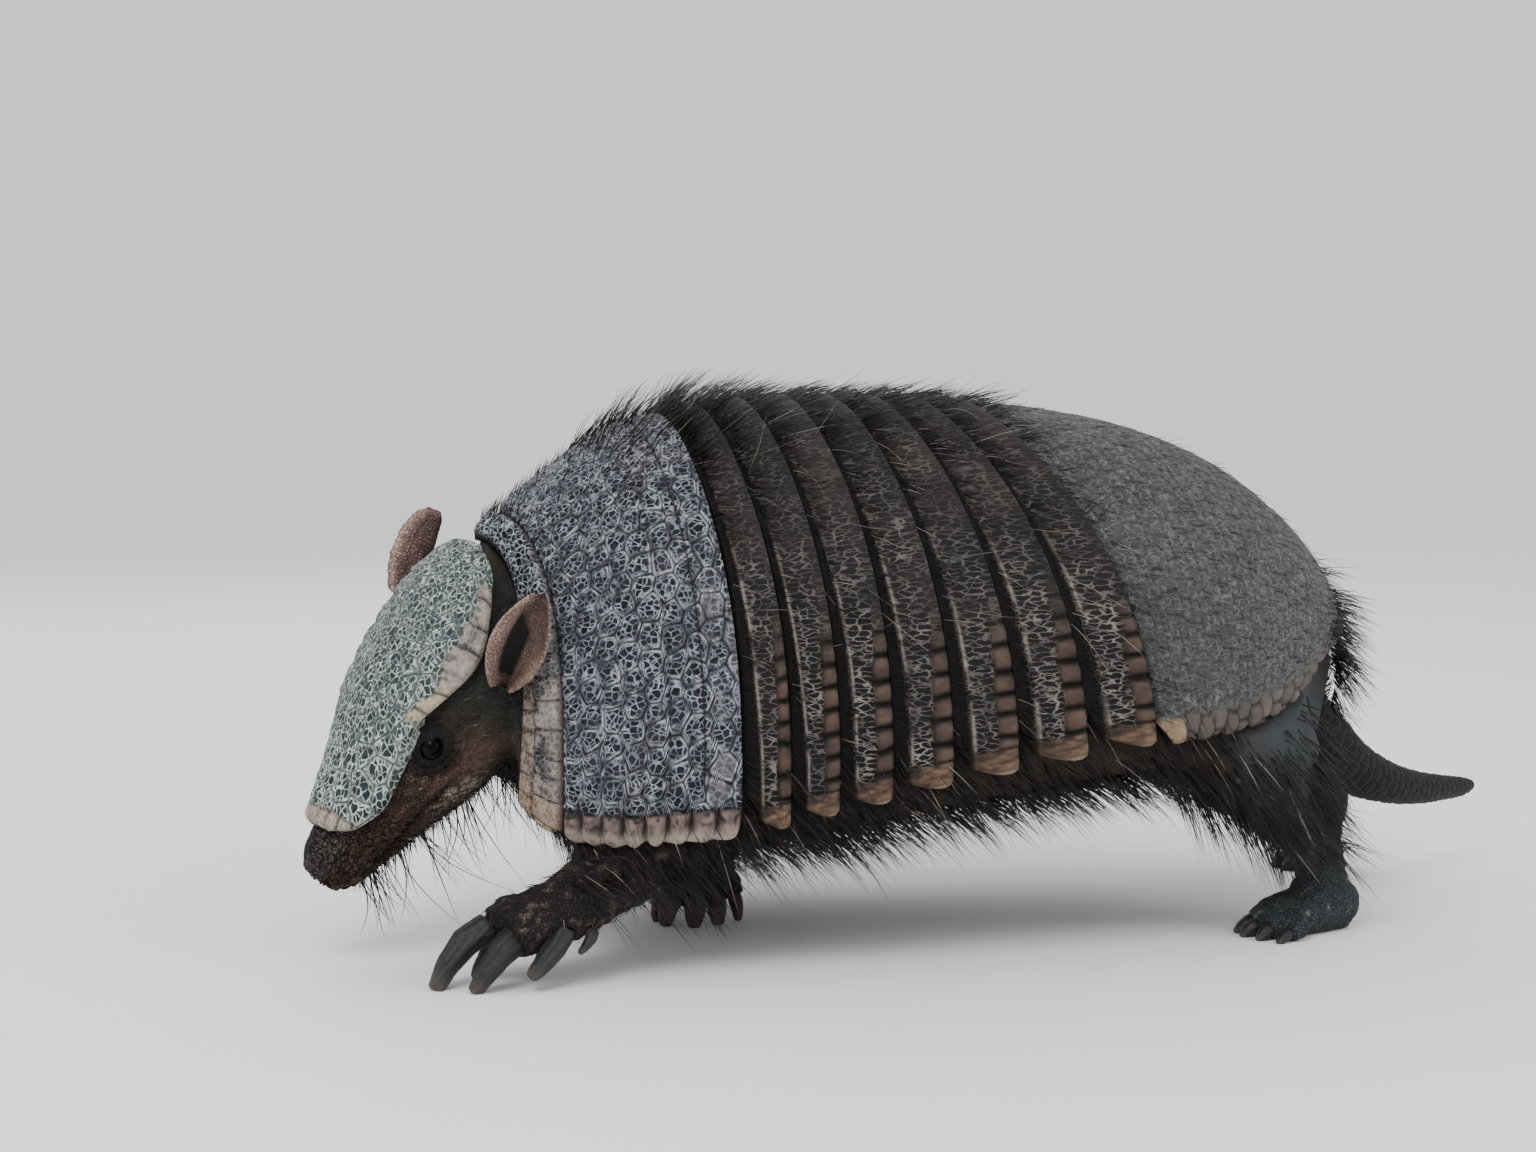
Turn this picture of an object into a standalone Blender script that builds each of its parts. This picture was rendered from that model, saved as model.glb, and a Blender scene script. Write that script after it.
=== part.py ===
"""A walking large hairy armadillo, life size: flesh, bony shell, ears, eyes and claws, each its own solid.

The animal faces -X and its left side is at -Y. The floor is z = 0 and the origin is under the middle
of its bounding box. Lengths in the tables are millimetres, turned into metres by MM.
"""

import math

import bmesh
import bpy
import numpy as np
from mathutils import Matrix, Vector

MM = 0.001
GAP = 0.45 * MM          # free space between neighbouring solids
SHELL = 4.0 * MM         # thickness of the bony plates with their horn
BAND_STEP = 1.6 * MM     # how far a band's rear edge stands over the next one
BAND_DIP = -0.64 * MM    # how far its front edge lies below the section's own outline
PLATE_GAP = 0.02         # gap between two plates, in places along the back
ARCH_STEPS = 14          # facets of the shell from one lower edge over the back to the other
BELLY_STEPS = 6
BELLY_FLATNESS = 0.75    # less than 1 carries the belly's depth further out to the sides
ARCH_FULLNESS = 0.86     # 1 gives an ellipse, less gives squarer shoulders
LEAN_CURVE = 2.5         # more keeps the lower part of each section upright further up

# The trunk and shell in side view, one row for each place along the back. The notch is how far the
# section bows backwards at half height, where the front plates make room for the ears, and the lean is how
# far its top swings forward, along a curve that steepens towards the spine.
#            place  top x  top z  edge x edge z belly x belly z half width notch lean
SHELL_ROWS = np.array((
    (0.0,  -171, 152,  -162,  56,  -154,  50,  52.5,  9,   0),   # front of the neck band
    (1.0,  -159, 160,  -149,  47,  -143,  41,  69,  8,   3),   # front of the shoulder shield
    (1.7,  -133, 176.5,  -132,  46,  -126,  38,  83,  5,   8),
    (2.4,  -108, 189,  -111,  48,  -106,  36,  91,  2,  13),
    (3.0,   -86, 194,   -91,  50,   -86,  36,  95,  0,  17),   # first moving band
    (4.0,   -71, 196.5,   -74,  53,   -70,  37,  97,  0,  18),
    (5.0,   -54, 199,   -57,  57,   -54,  38,  98,  0,  19),
    (6.0,   -36, 200,   -38,  61,   -36,  40,  98,  0,  20),
    (7.0,   -17, 200,   -16,  66,   -16,  43,  98,  0,  22),
    (8.0,     3, 200,     8,  70,     6,  46,  98,  0,  26),
    (9.0,    24, 199.5,    34,  74,    30,  49,  97,  0,  31),
    (10.0,   47, 198.5,    60,  77,    55,  52,  95,  0,  36),   # front of the hip shield
    (11.0,   72, 196,    76,  78,    76,  54,  93,  0,  31),
    (12.0,   97, 189.5,    92,  80,    93,  56,  89,  0,  22),
    (13.0,  120, 176.5,   107,  83,   108,  57,  83,  0,  12),
    (14.0,  140, 156,   121,  89,   121,  58,  74,  0,   4),
    (15.0,  154, 134,   132,  97,   132,  60,  62,  0,   0),
    (16.0,  161, 116,   141, 102,   141,  62,  50,  0,   0),   # rear edge of the hip shield
    (17.0,  164,  98,   148,  88,   145,  62,  42,  0,   0),
    (18.0,  162,  78,   153,  70,   149,  61,  30,  0,   0),
))
NECK_BAND = (0.0, 1.0)
SHOULDER_SHIELD = (1.0, 1.7, 2.4, 3.0)
FIRST_BAND, BAND_COUNT = 3, 7
HIP_SHIELD = tuple(float(p) for p in range(10, 17))
TRUNK_PLACES = (1.0, 1.7, 2.4) + tuple(float(p) for p in range(3, 19))

# The head in its own frame: along it from the back, half width, height above and below its axis.
HEAD_LENGTH = 124 * MM
HEAD_BACK = Vector((-158, -10, 130)) * MM
HEAD_PITCH, HEAD_YAW, HEAD_ROLL = (math.radians(a) for a in (53, 17.5, 10))
HEAD_START = 0.05
NAPE_RISE = 4 * MM       # arches the neck between the shell and the head
HEAD_SLANT = 0.40        # how much further forward the head starts at the throat than at the crown
#        along  half width  above  below
HEAD_ROWS = np.array((
    (0.00, 31.0, 25.0, 27.0),
    (0.10, 34.5, 27.5, 29.0),
    (0.25, 36.5, 28.0, 30.0),
    (0.40, 35.0, 27.0, 30.0),
    (0.50, 32.0, 25.5, 29.5),
    (0.60, 27.0, 22.0, 26.0),
    (0.70, 22.0, 18.5, 22.0),
    (0.80, 18.3, 15.0, 18.0),
    (0.90, 15.0, 11.5, 13.5),
    (0.96, 13.2,  9.5, 11.0),
    (1.00,  9.5,  6.5,  7.5),
))
HEAD_SIDES = 20
HEAD_FULLNESS = 0.92
SNOUT_FROM, JAW_FROM, JAW_TO = 0.66, 0.5, 0.93
JAW_LINE = (-17.0 * MM, -5.0 * MM)   # height of the mouth in the head's frame, at JAW_FROM and JAW_TO
CUT = 0.5 * MM

# The head shield: along the head, half its spread in degrees round the head's axis.
HEAD_SHIELD = np.array(((-0.03, 10), (0.02, 29), (0.09, 41), (0.17, 50), (0.28, 58), (0.45, 52), (0.53, 48),
                        (0.62, 53), (0.70, 63), (0.76, 67), (0.82, 60), (0.87, 42), (0.89, 22)))
HEAD_SHIELD_THICK = 2.8 * MM
HEAD_SHIELD_STEPS = 8

EYE_RADIUS = 4.6 * MM
EYE_ALONG, EYE_ANGLE, EYE_DEPTH = 0.545, 68, 2.8 * MM
EAR_WIDTH, EAR_THICK = 19 * MM, 2.2 * MM
EAR_HOLLOW = 0.30        # depth of the cup at its root, as a share of the width
EAR_CURL = 2.5 * MM      # how far the tip leans towards the opening
EAR_STEPS = 6
# Each ear: its root, its tip, and the way its hollow faces.
EARS = {
    "ear_left": ((-168.5, -58.5, 101), (-156, -68, 132.5), (-0.30, -0.95, 0.05)),
    "ear_right": ((-196, 17, 128), (-183, 24, 158), (-0.80, 0.55, 0.05)),
}

TAIL_SIDES = 12
#        x     y    z   radius
TAIL_ROWS = ((146, 0, 80, 17), (162, 2, 66, 14.5), (181, 8, 52, 11.2), (202, 18, 43, 8.7),
             (222, 30, 38, 7.0), (240, 42, 35.5, 5.6), (256, 53, 34, 4.0), (262.5, 57.5, 33.8, 2.4))
TAIL_SPLIT = 4           # row where the tail's tip begins

LEG_SIDES, CLAW_SIDES = 9, 6


# ---------------------------------------------------------------- curves and grids

def through(rows):
    """A smooth curve through table rows, as a function of the first column."""
    rows = np.asarray(rows, float)
    t, v = rows[:, 0], rows[:, 1:]
    slopes = np.gradient(v, t, axis=0)

    def at(p):
        i = int(np.clip(np.searchsorted(t, p, side="right") - 1, 0, len(t) - 2))
        h = t[i + 1] - t[i]
        u = (p - t[i]) / h
        return ((2 * u**3 - 3 * u**2 + 1) * v[i] + (u**3 - 2 * u**2 + u) * h * slopes[i]
                + (3 * u**2 - 2 * u**3) * v[i + 1] + (u**3 - u**2) * h * slopes[i + 1])

    return at


shell_row = through(SHELL_ROWS)
head_row = through(HEAD_ROWS)


def powered(value, power):
    return np.sign(value) * np.abs(value) ** power


def arch(place, inset=0.0, raised=0.0):
    """The shell's section at a place, from the left lower edge over the back to the right one.

    inset moves it inwards and raised lifts it, both across the section. The lower edge stays level.
    """
    top_x, top_z, edge_x, edge_z, _, _, half, notch, lean = shell_row(place) * MM
    rise = math.hypot(top_x - edge_x, top_z - edge_z)
    up = np.array((top_x - edge_x, 0.0, top_z - edge_z)) / rise
    turn = np.linspace(-math.pi / 2, math.pi / 2, ARCH_STEPS + 1)
    grow = raised - inset
    across = powered(np.sin(turn), ARCH_FULLNESS) * (half + grow)
    share = powered(np.cos(turn), ARCH_FULLNESS)
    bow = notch * np.sin(np.abs(turn) * 2) - lean * powered(share, LEAN_CURVE)
    points = np.array((edge_x, 0.0, edge_z)) + (share * (rise + grow))[:, None] * up
    points[:, 0] += bow
    points[:, 1] += across
    return points


def trunk_ring(place):
    """The flesh inside the shell at a place: the arch, then the belly from right to left."""
    upper = arch(place, inset=SHELL + 2 * GAP)
    _, _, edge_x, edge_z, belly_x, belly_z, *_ = shell_row(place) * MM
    half = upper[-1, 1]
    turn = np.linspace(0, math.pi, BELLY_STEPS + 1)[1:-1]
    drop = np.sin(turn) ** BELLY_FLATNESS
    belly = np.stack((edge_x + (belly_x - edge_x) * drop,
                      half * powered(np.cos(turn), ARCH_FULLNESS),
                      edge_z + (belly_z - edge_z) * drop), axis=1)
    return np.concatenate((upper, belly))


def head_axes():
    """The head's frame: forwards to the nose, to its right side, and up out of the forehead."""
    cp, sp = math.cos(HEAD_PITCH), math.sin(HEAD_PITCH)
    cy, sy = math.cos(HEAD_YAW), math.sin(HEAD_YAW)
    forward = Vector((-cp * cy, -cp * sy, -sp))
    right = Vector((-sy, cy, 0))
    up = Vector((-sp * cy, -sp * sy, cp))
    cr, sr = math.cos(HEAD_ROLL), math.sin(HEAD_ROLL)
    return forward, cr * right + sr * up, cr * up - sr * right


FORWARD, RIGHT, UP = head_axes()


def on_head(along, angle, lift=0.0):
    """A point of the head's surface. The angle goes round from the forehead, positive to the right."""
    half, above, below = head_row(along) * MM
    turn = math.radians(angle)
    side, rise = math.sin(turn), math.cos(turn)
    height = above if rise > 0 else below
    return (HEAD_BACK + FORWARD * (along * HEAD_LENGTH)
            + RIGHT * float(powered(side, HEAD_FULLNESS) * (half + lift))
            + UP * float(powered(rise, HEAD_FULLNESS) * (height + lift)))


def slanted(along, angle):
    """Slides a point forwards towards the throat, most at the back of the head, not at all at the nose."""
    low = (1 - math.cos(math.radians(angle))) / 2
    return along + HEAD_SLANT * (1 - along) ** 2 * low**0.6


def head_ring(along, grow=0.0):
    angles = [360 / HEAD_SIDES * i for i in range(HEAD_SIDES)]
    return np.array([on_head(slanted(along, a), a, grow) for a in angles])


# ---------------------------------------------------------------- meshes and objects

def material(name, colour, roughness, metallic=0.0):
    made = bpy.data.materials.new(name)
    made.use_nodes = True
    shader = made.node_tree.nodes["Principled BSDF"]
    shader.inputs["Base Color"].default_value = (*colour, 1.0)
    shader.inputs["Roughness"].default_value = roughness
    shader.inputs["Metallic"].default_value = metallic
    return made


def add_object(name, vertices, faces, finish, where):
    mesh = bpy.data.meshes.new(name)
    mesh.from_pydata([tuple(v) for v in vertices], [], faces)
    work = bmesh.new()
    work.from_mesh(mesh)
    bmesh.ops.triangulate(work, faces=work.faces, quad_method="FIXED")
    bmesh.ops.recalc_face_normals(work, faces=work.faces)
    work.to_mesh(mesh)
    work.free()
    mesh.shade_smooth()
    mesh.set_sharp_from_angle(angle=math.radians(50))
    mesh.materials.append(finish)
    made = bpy.data.objects.new(name, mesh)
    where.objects.link(made)
    return made


def loft(name, rings, finish, where):
    """A closed body through rings of equal counts, with a fan from the ring's middle at each end."""
    count = len(rings[0])
    faces = [(r + i, r + (i + 1) % count, r + count + (i + 1) % count, r + count + i)
             for r in range(0, (len(rings) - 1) * count, count) for i in range(count)]
    last, total = (len(rings) - 1) * count, len(rings) * count
    for start, middle in ((0, total), (last, total + 1)):
        faces += [(middle, start + i, start + (i + 1) % count) for i in range(count)]
    middles = (np.mean(rings[0], axis=0), np.mean(rings[-1], axis=0))
    return add_object(name, np.concatenate((*rings, middles)), faces, finish, where)


def slab(name, outer, inner, finish, where):
    """A plate between two grids of the same shape, closed round its border."""
    rows, columns = outer.shape[:2]
    size = rows * columns

    def spot(layer, r, c):
        return layer * size + r * columns + c

    faces = [tuple(spot(layer, r + a, c + b) for a, b in ((0, 0), (0, 1), (1, 1), (1, 0)))
             for layer in (0, 1) for r in range(rows - 1) for c in range(columns - 1)]
    faces += [(spot(0, r, c), spot(0, r, c + 1), spot(1, r, c + 1), spot(1, r, c))
              for r in (0, rows - 1) for c in range(columns - 1)]
    faces += [(spot(0, r, c), spot(0, r + 1, c), spot(1, r + 1, c), spot(1, r, c))
              for c in (0, columns - 1) for r in range(rows - 1)]
    points = np.concatenate((outer.reshape(-1, 3), inner.reshape(-1, 3)))
    return add_object(name, points, faces, finish, where)


def sweep(name, rows, finish, where, sides=LEG_SIDES, up=(0, 0, 1)):
    """A limb along centres: each row is x, y, z, half width, half height, in millimetres."""
    rows = np.asarray(rows, float) * MM
    centres = rows[:, :3]
    tangents = np.gradient(centres, axis=0)
    turn = np.arange(sides) * (2 * math.pi / sides)
    rings = []
    for centre, tangent, (wide, high) in zip(centres, tangents, rows[:, 3:5]):
        side = Vector(up).cross(Vector(tangent)).normalized()
        rise = Vector(tangent).cross(side).normalized()
        rings.append(centre + np.outer(np.cos(turn) * wide, side) + np.outer(np.sin(turn) * high, rise))
    return loft(name, rings, finish, where)


def refine(rows, pieces):
    """More rows along a smooth curve through the given ones."""
    rows = np.asarray(rows, float)
    steps = np.arange(len(rows))
    at = through(np.column_stack((steps, rows)))
    return np.array([at(p) for p in np.linspace(0, len(rows) - 1, pieces)])


def boolean(target, other, operation):
    """Applies one exact Boolean to the target."""
    modifier = target.modifiers.new(operation.lower(), "BOOLEAN")
    modifier.operation = operation
    modifier.solver = "EXACT"
    modifier.object = other
    bpy.context.view_layer.update()
    graph = bpy.context.evaluated_depsgraph_get()
    result = bpy.data.meshes.new_from_object(target.evaluated_get(graph))
    target.modifiers.clear()
    old = target.data
    target.data = result
    bpy.data.meshes.remove(old)
    keep_largest(target)


def keep_largest(item):
    """Removes the slivers that a Boolean may leave beside the main piece."""
    work = bmesh.new()
    work.from_mesh(item.data)
    pieces, seen = [], set()
    for first in work.faces:
        if first in seen:
            continue
        piece, queue = [], [first]
        seen.add(first)
        while queue:
            face = queue.pop()
            piece.append(face)
            for edge in face.edges:
                for other in edge.link_faces:
                    if other not in seen:
                        seen.add(other)
                        queue.append(other)
        pieces.append(piece)
    pieces.sort(key=lambda piece: sum(face.calc_area() for face in piece))
    for piece in pieces[:-1]:
        bmesh.ops.delete(work, geom=piece, context="FACES")
    loose = [vertex for vertex in work.verts if not vertex.link_faces]
    bmesh.ops.delete(work, geom=loose, context="VERTS")
    work.to_mesh(item.data)
    work.free()


def drop(*objects):
    for item in objects:
        bpy.data.objects.remove(item)


def cutter(item):
    """Moves an object to the cutters, which never show."""
    for owner in list(item.users_collection):
        owner.objects.unlink(item)
    CUTTERS.objects.link(item)
    item.hide_render = True
    item.display_type = "WIRE"
    return item


def box_cutter(name, corner, along, across, rise, sizes):
    """A box from a corner along three directions."""
    mesh = bpy.data.meshes.new(name)
    work = bmesh.new()
    bmesh.ops.create_cube(work, size=1.0)
    edges = (Vector(along) * sizes[0], Vector(across) * sizes[1], Vector(rise) * sizes[2])
    frame = Matrix(edges).transposed()
    middle = Vector(corner) + frame @ Vector((0.5, 0.5, 0.5))
    bmesh.ops.transform(work, matrix=Matrix.Translation(middle) @ frame.to_4x4(), verts=work.verts)
    bmesh.ops.recalc_face_normals(work, faces=work.faces)
    work.to_mesh(mesh)
    work.free()
    made = bpy.data.objects.new(name, mesh)
    bpy.context.scene.collection.objects.link(made)
    return cutter(made)


# ---------------------------------------------------------------- the shell

def plate(name, places, finish, where, steps=None):
    """A shell plate over the given places. steps lifts its outer face at each place."""
    steps = steps or [0.0] * len(places)
    outer = np.array([arch(p, raised=s) for p, s in zip(places, steps)])
    inner = np.array([arch(p, inset=SHELL) for p in places])
    return slab(name, outer, inner, finish, where)


def shell_plates(where):
    """The neck band, the shoulder shield, the moving bands and the hip shield."""
    front, rear = NECK_BAND
    middle = (front + rear) / 2
    plate("neck_band", (front, middle, rear - PLATE_GAP), FINISH["horn"], where, (0, 0, BAND_STEP))
    *places, rear = SHOULDER_SHIELD
    plate("shoulder_shield", (*places, rear - PLATE_GAP), FINISH["horn"], where, (0, 0, 0, BAND_STEP))
    for index in range(BAND_COUNT):
        start = FIRST_BAND + index
        ends = (start + PLATE_GAP, start + 1 - PLATE_GAP)
        plate(f"band_{index + 1}", ends, FINISH["band"], where, (BAND_DIP, BAND_STEP))
    front, *places = HIP_SHIELD
    plate("hip_shield", (front + PLATE_GAP, *places), FINISH["horn"], where)


# ---------------------------------------------------------------- trunk and neck

def trunk(where):
    front, *places = TRUNK_PLACES
    places = (front + 2 * PLATE_GAP, *places)
    return loft("trunk", [trunk_ring(p) for p in places], FINISH["belly"], where)


def neck(where):
    """From the trunk's front through the neck band to the back of the head."""
    front, back = NECK_BAND
    rear = [trunk_ring(p) for p in (back - PLATE_GAP, (front + back) / 2, front)]
    head = matched_head_ring(HEAD_START - GAP / HEAD_LENGTH * 1.4)
    arched = np.array((-1, 0, 1)) * NAPE_RISE
    bridge = [rear[-1] * (1 - m) + head * m + arched * (m * (1 - m)) for m in (0.35, 0.7)]
    return loft("neck", rear + bridge + [head], FINISH["skin"], where)


def matched_head_ring(along):
    """A ring of the head with as many points as a trunk ring, in the same order."""
    upper = np.linspace(-100, 100, ARCH_STEPS + 1)
    lower = np.linspace(100, 260, BELLY_STEPS + 1)[1:-1]
    return np.array([on_head(slanted(along, a), a) for a in (*upper, *lower)])


# ---------------------------------------------------------------- head

def head_parts(where):
    """The head is modelled whole, then parted by thin cuts into skull, snout and lower jaw."""
    along = [HEAD_START] + [row[0] for row in HEAD_ROWS[1:]]
    whole = [head_ring(a) for a in along]
    upper, snout, jaw = (loft(n, whole, FINISH["skin"], where) for n in ("head", "snout", "lower_jaw"))

    wide = 60 * MM
    start = HEAD_BACK + FORWARD * (JAW_FROM * HEAD_LENGTH) + UP * JAW_LINE[0]
    stop = HEAD_BACK + FORWARD * (JAW_TO * HEAD_LENGTH) + UP * JAW_LINE[1]
    line = (stop - start).normalized()
    normal = RIGHT.cross(line).normalized()
    if normal.dot(UP) > 0:
        normal.negate()
    corner = start - RIGHT * (wide / 2)
    length = (stop - start).length
    jaw_box = box_cutter("jaw_box", corner, line, RIGHT, normal, (length, wide, wide))
    boolean(jaw, jaw_box, "INTERSECT")
    bigger = box_cutter("jaw_room", corner - line * CUT - normal * CUT, line, RIGHT, normal,
                        (length + 2 * CUT, wide, wide + CUT))
    boolean(upper, bigger, "DIFFERENCE")
    boolean(snout, bigger, "DIFFERENCE")

    parting = HEAD_BACK + FORWARD * (SNOUT_FROM * HEAD_LENGTH) - RIGHT * wide - UP * wide
    size = (wide * 2, wide * 2, wide * 2)
    front = box_cutter("snout_box", parting, FORWARD, RIGHT, UP, size)
    boolean(snout, front, "INTERSECT")
    front.location = -FORWARD * CUT
    boolean(upper, front, "DIFFERENCE")
    drop(jaw_box, bigger, front)
    return upper


def head_shield(where):
    """The horn shield over the forehead and the top of the snout, widest behind the eyes."""
    spread = through(HEAD_SHIELD)
    along = [row[0] for row in HEAD_SHIELD]

    def grid(lift):
        return np.array([[on_head(a, angle, lift) for angle in
                          np.linspace(-spread(a)[0], spread(a)[0], HEAD_SHIELD_STEPS + 1)] for a in along])

    slab("head_shield", grid(2 * GAP + HEAD_SHIELD_THICK), grid(2 * GAP), FINISH["horn"], where)


def ball(name, radius, centre_point, where):
    bpy.ops.mesh.primitive_uv_sphere_add(segments=12, ring_count=6, radius=radius, location=centre_point)
    made = bpy.context.object
    made.name = name
    made.data.transform(made.matrix_world)
    made.matrix_world = Matrix()
    for owner in list(made.users_collection):
        owner.objects.unlink(made)
    where.objects.link(made)
    return made


def eyes(head, where):
    """Small round eyes, set in sockets cut for them."""
    for name, side in (("eye_left", -1), ("eye_right", 1)):
        surface = on_head(EYE_ALONG, side * EYE_ANGLE)
        axis = HEAD_BACK + FORWARD * (EYE_ALONG * HEAD_LENGTH)
        middle = surface + (axis - surface).normalized() * EYE_DEPTH
        socket = cutter(ball("socket", EYE_RADIUS + GAP, middle, where))
        boolean(head, socket, "DIFFERENCE")
        drop(socket)
        eye = ball(name, EYE_RADIUS, middle, where)
        eye.data.materials.append(FINISH["eye"])
        eye.data.shade_smooth()


def ears(where):
    """A leaf-shaped cup on each side of the back of the head, opening outwards and forwards."""
    for name, (root, tip, facing) in EARS.items():
        root, tip, facing = Vector(root) * MM, Vector(tip) * MM, Vector(facing)
        grow = (tip - root).normalized()
        opening = (facing - grow * facing.dot(grow)).normalized()
        wide = grow.cross(opening).normalized()
        inner, outer = [], []
        for along in np.linspace(0.0, 1.0, EAR_STEPS):
            breadth = EAR_WIDTH / 2 * math.sin(math.pi * (0.16 + 0.80 * along)) ** 0.7
            depth = EAR_WIDTH * EAR_HOLLOW * (1 - 0.75 * along)
            spine = root + grow * ((tip - root).length * along) + opening * (EAR_CURL * along**2)
            rows = ([], [])
            for turn in np.linspace(-1, 1, EAR_STEPS):
                hollow = depth * (1 - turn**2)
                rim = spine + wide * (breadth * turn)
                rows[0].append(rim - opening * hollow)
                rows[1].append(rim - opening * (hollow + EAR_THICK * (1 - 0.55 * turn**2)))
            inner.append(rows[0])
            outer.append(rows[1])
        slab(name, np.array(inner), np.array(outer), FINISH["ear"], where)


# ---------------------------------------------------------------- tail

def tail(where):
    """A tapering tail of two lengths that leans away to the right."""
    rows = [(x, y, z, r, r) for x, y, z, r in TAIL_ROWS]
    root = sweep("tail_base", refine(rows[:TAIL_SPLIT + 1], 7), FINISH["tail"], where, TAIL_SIDES)
    split, after = np.array(rows[TAIL_SPLIT]), np.array(rows[TAIL_SPLIT + 1])
    start = split + (after - split) * 0.05
    sweep("tail_tip", refine([start, *rows[TAIL_SPLIT + 1:]], 5), FINISH["tail"], where, TAIL_SIDES)
    return root


# ---------------------------------------------------------------- legs

# Each leg: the rows of its upper length, lower length and foot (x, y, z, half width, half height), then its
# toes from the thumb outwards (base x, y, z, toe end x, y, z, claw tip x, y, z, base radius, claw radius).
LEGS = {
    "fore_left": {
        "upper": ((-98, -44, 96, 26, 30), (-102, -57, 76, 25, 27), (-108, -66, 56, 22, 23)),
        "lower": ((-108.4, -66.3, 55, 22, 23), (-124, -70, 42, 18, 19), (-143, -73, 31, 15.5, 15.5),
                  (-155, -76, 24.5, 14.5, 13)),
        "foot": ((-155.4, -76.1, 24.3, 14.5, 13), (-163, -77.5, 21.5, 15.5, 11), (-170, -79, 18.5, 15, 9)),
        "toes": (
            ((-163, -68, 19), (-172, -67, 12), (-180, -67, 0), 4.6, 3.4),
            ((-166, -73.5, 21), (-175, -75, 19.5), (-195, -82, 0), 6.8, 6.2),
            ((-161, -80, 20), (-166.5, -84.5, 18), (-182.5, -89, 0), 6.8, 6.2),
            ((-148, -82, 26), (-151.5, -87, 20), (-164, -93, 5), 5.8, 5.2),
            ((-141, -82, 24), (-141.5, -86.5, 19.5), (-147, -90.5, 12), 3.6, 2.6),
        ),
    },
    "fore_right": {
        "upper": ((-92, 42, 92, 24, 28), (-88, 46, 68, 24, 26), (-82, 45, 47, 20, 20)),
        "lower": ((-81.8, 44.7, 46, 20, 20), (-79, 41, 39, 16.5, 15.5), (-77, 34, 32, 13.5, 13),
                  (-78, 27, 26, 12.5, 11)),
        "foot": ((-78.2, 26.6, 25.6, 12.5, 11), (-81, 20, 20, 14, 9), (-84, 14, 15.5, 13.5, 7.5)),
        "toes": (
            ((-91, 20, 17), (-97, 17, 11), (-101, 13, 0), 4.2, 3.2),
            ((-89, 14, 16), (-95, 9, 10), (-99, 4, 0), 5.6, 4.6),
            ((-85, 11, 15.5), (-87, 5, 9.5), (-89, -1, 0), 6.0, 4.8),
            ((-79, 12, 15.5), (-79, 7, 9.5), (-79, 2, 0), 5.4, 4.2),
            ((-73, 16, 16), (-71, 12, 10), (-70, 8, 0), 4.2, 3.2),
        ),
    },
    "hind_left": {
        "upper": ((90, -48, 98, 38, 36), (102, -56, 76, 37, 34), (117, -59, 58, 28, 25),
                  (130, -58, 45, 19, 17)),
        "lower": ((130.4, -58, 44.4, 19, 17), (136, -57, 35, 13, 12.5), (141, -55, 25, 10.5, 11),
                  (142, -54, 16, 12, 11.5)),
        "foot": ((155, -51, 8, 7, 7), (151, -52, 9.2, 10.5, 10.2), (143, -54, 9.4, 12, 10.8),
                 (131, -58, 7.8, 12.5, 9.2), (122, -61, 6.4, 12.5, 7.6)),
        "toes": (
            ((125, -51, 6.0), (117, -50, 4), (110, -49.5, 0), 4.3, 3.0),
            ((123, -56, 6.2), (114, -56, 4.2), (106.5, -56, 0), 4.8, 3.4),
            ((123, -61.5, 6.2), (113, -62.5, 4.2), (106, -63, 0), 4.9, 3.5),
            ((124, -67, 6.0), (115, -69.5, 4), (109, -71, 0), 4.4, 3.1),
            ((127, -71, 5.6), (120, -75, 3.6), (114, -77.5, 0), 3.9, 2.7),
        ),
    },
    "hind_right": {
        "upper": ((92, 48, 98, 38, 36), (112, 56, 82, 35, 32), (136, 58, 66, 26, 22), (150, 58, 58, 18, 16)),
        "lower": ((150.5, 58, 57.7, 18, 16), (164, 59, 50, 13.5, 12.5), (181, 60, 41, 11, 10.5),
                  (194, 60, 34, 10, 9.5)),
        "foot": ((204, 58, 37, 5, 5), (201, 59, 31, 8.5, 7.5), (198, 60, 23, 9.5, 8),
                 (195, 61, 13, 10.5, 8.4), (190, 62, 7, 11.5, 8.2)),
        "toes": (
            ((192, 54, 6.4), (186, 53, 4), (180, 52, 0), 4.3, 3.0),
            ((190, 58.5, 6.4), (183, 58.5, 4.2), (176, 58, 0), 4.8, 3.4),
            ((190, 64, 6.4), (182, 65, 4.2), (175, 65.5, 0), 4.9, 3.5),
            ((192, 69, 6.4), (185, 71, 4), (178, 72.5, 0), 4.4, 3.1),
            ((196, 72, 6.4), (190, 75, 3.6), (184, 78, 0), 3.9, 2.7),
        ),
    },
}


def toe_rows(base, end, radius):
    """A toe from inside the foot to where its claw starts."""
    base, end = np.array(base, float), np.array(end, float)
    return [(*base, radius, radius), (*end, radius * 0.92, radius * 0.92)]


def claw_rows(base, end, tip, radius):
    """A claw that carries on from its toe and curves down to a blunt tip."""
    base, end, tip = (np.array(p, float) for p in (base, end, tip))
    ahead = (end - base) / np.linalg.norm(end - base)
    length = np.linalg.norm(tip - end)
    start = end + ahead * 0.5
    bend = start + ahead * (length * 0.4)
    rows = []
    for s in (0.0, 0.4, 0.75, 1.0):
        spot = start * (1 - s) ** 2 + bend * (2 * s * (1 - s)) + tip * s**2
        taper = 1.0 - 0.5 * s**2
        rows.append((*spot, radius * taper, radius * taper * 0.9))
    return rows


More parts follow.
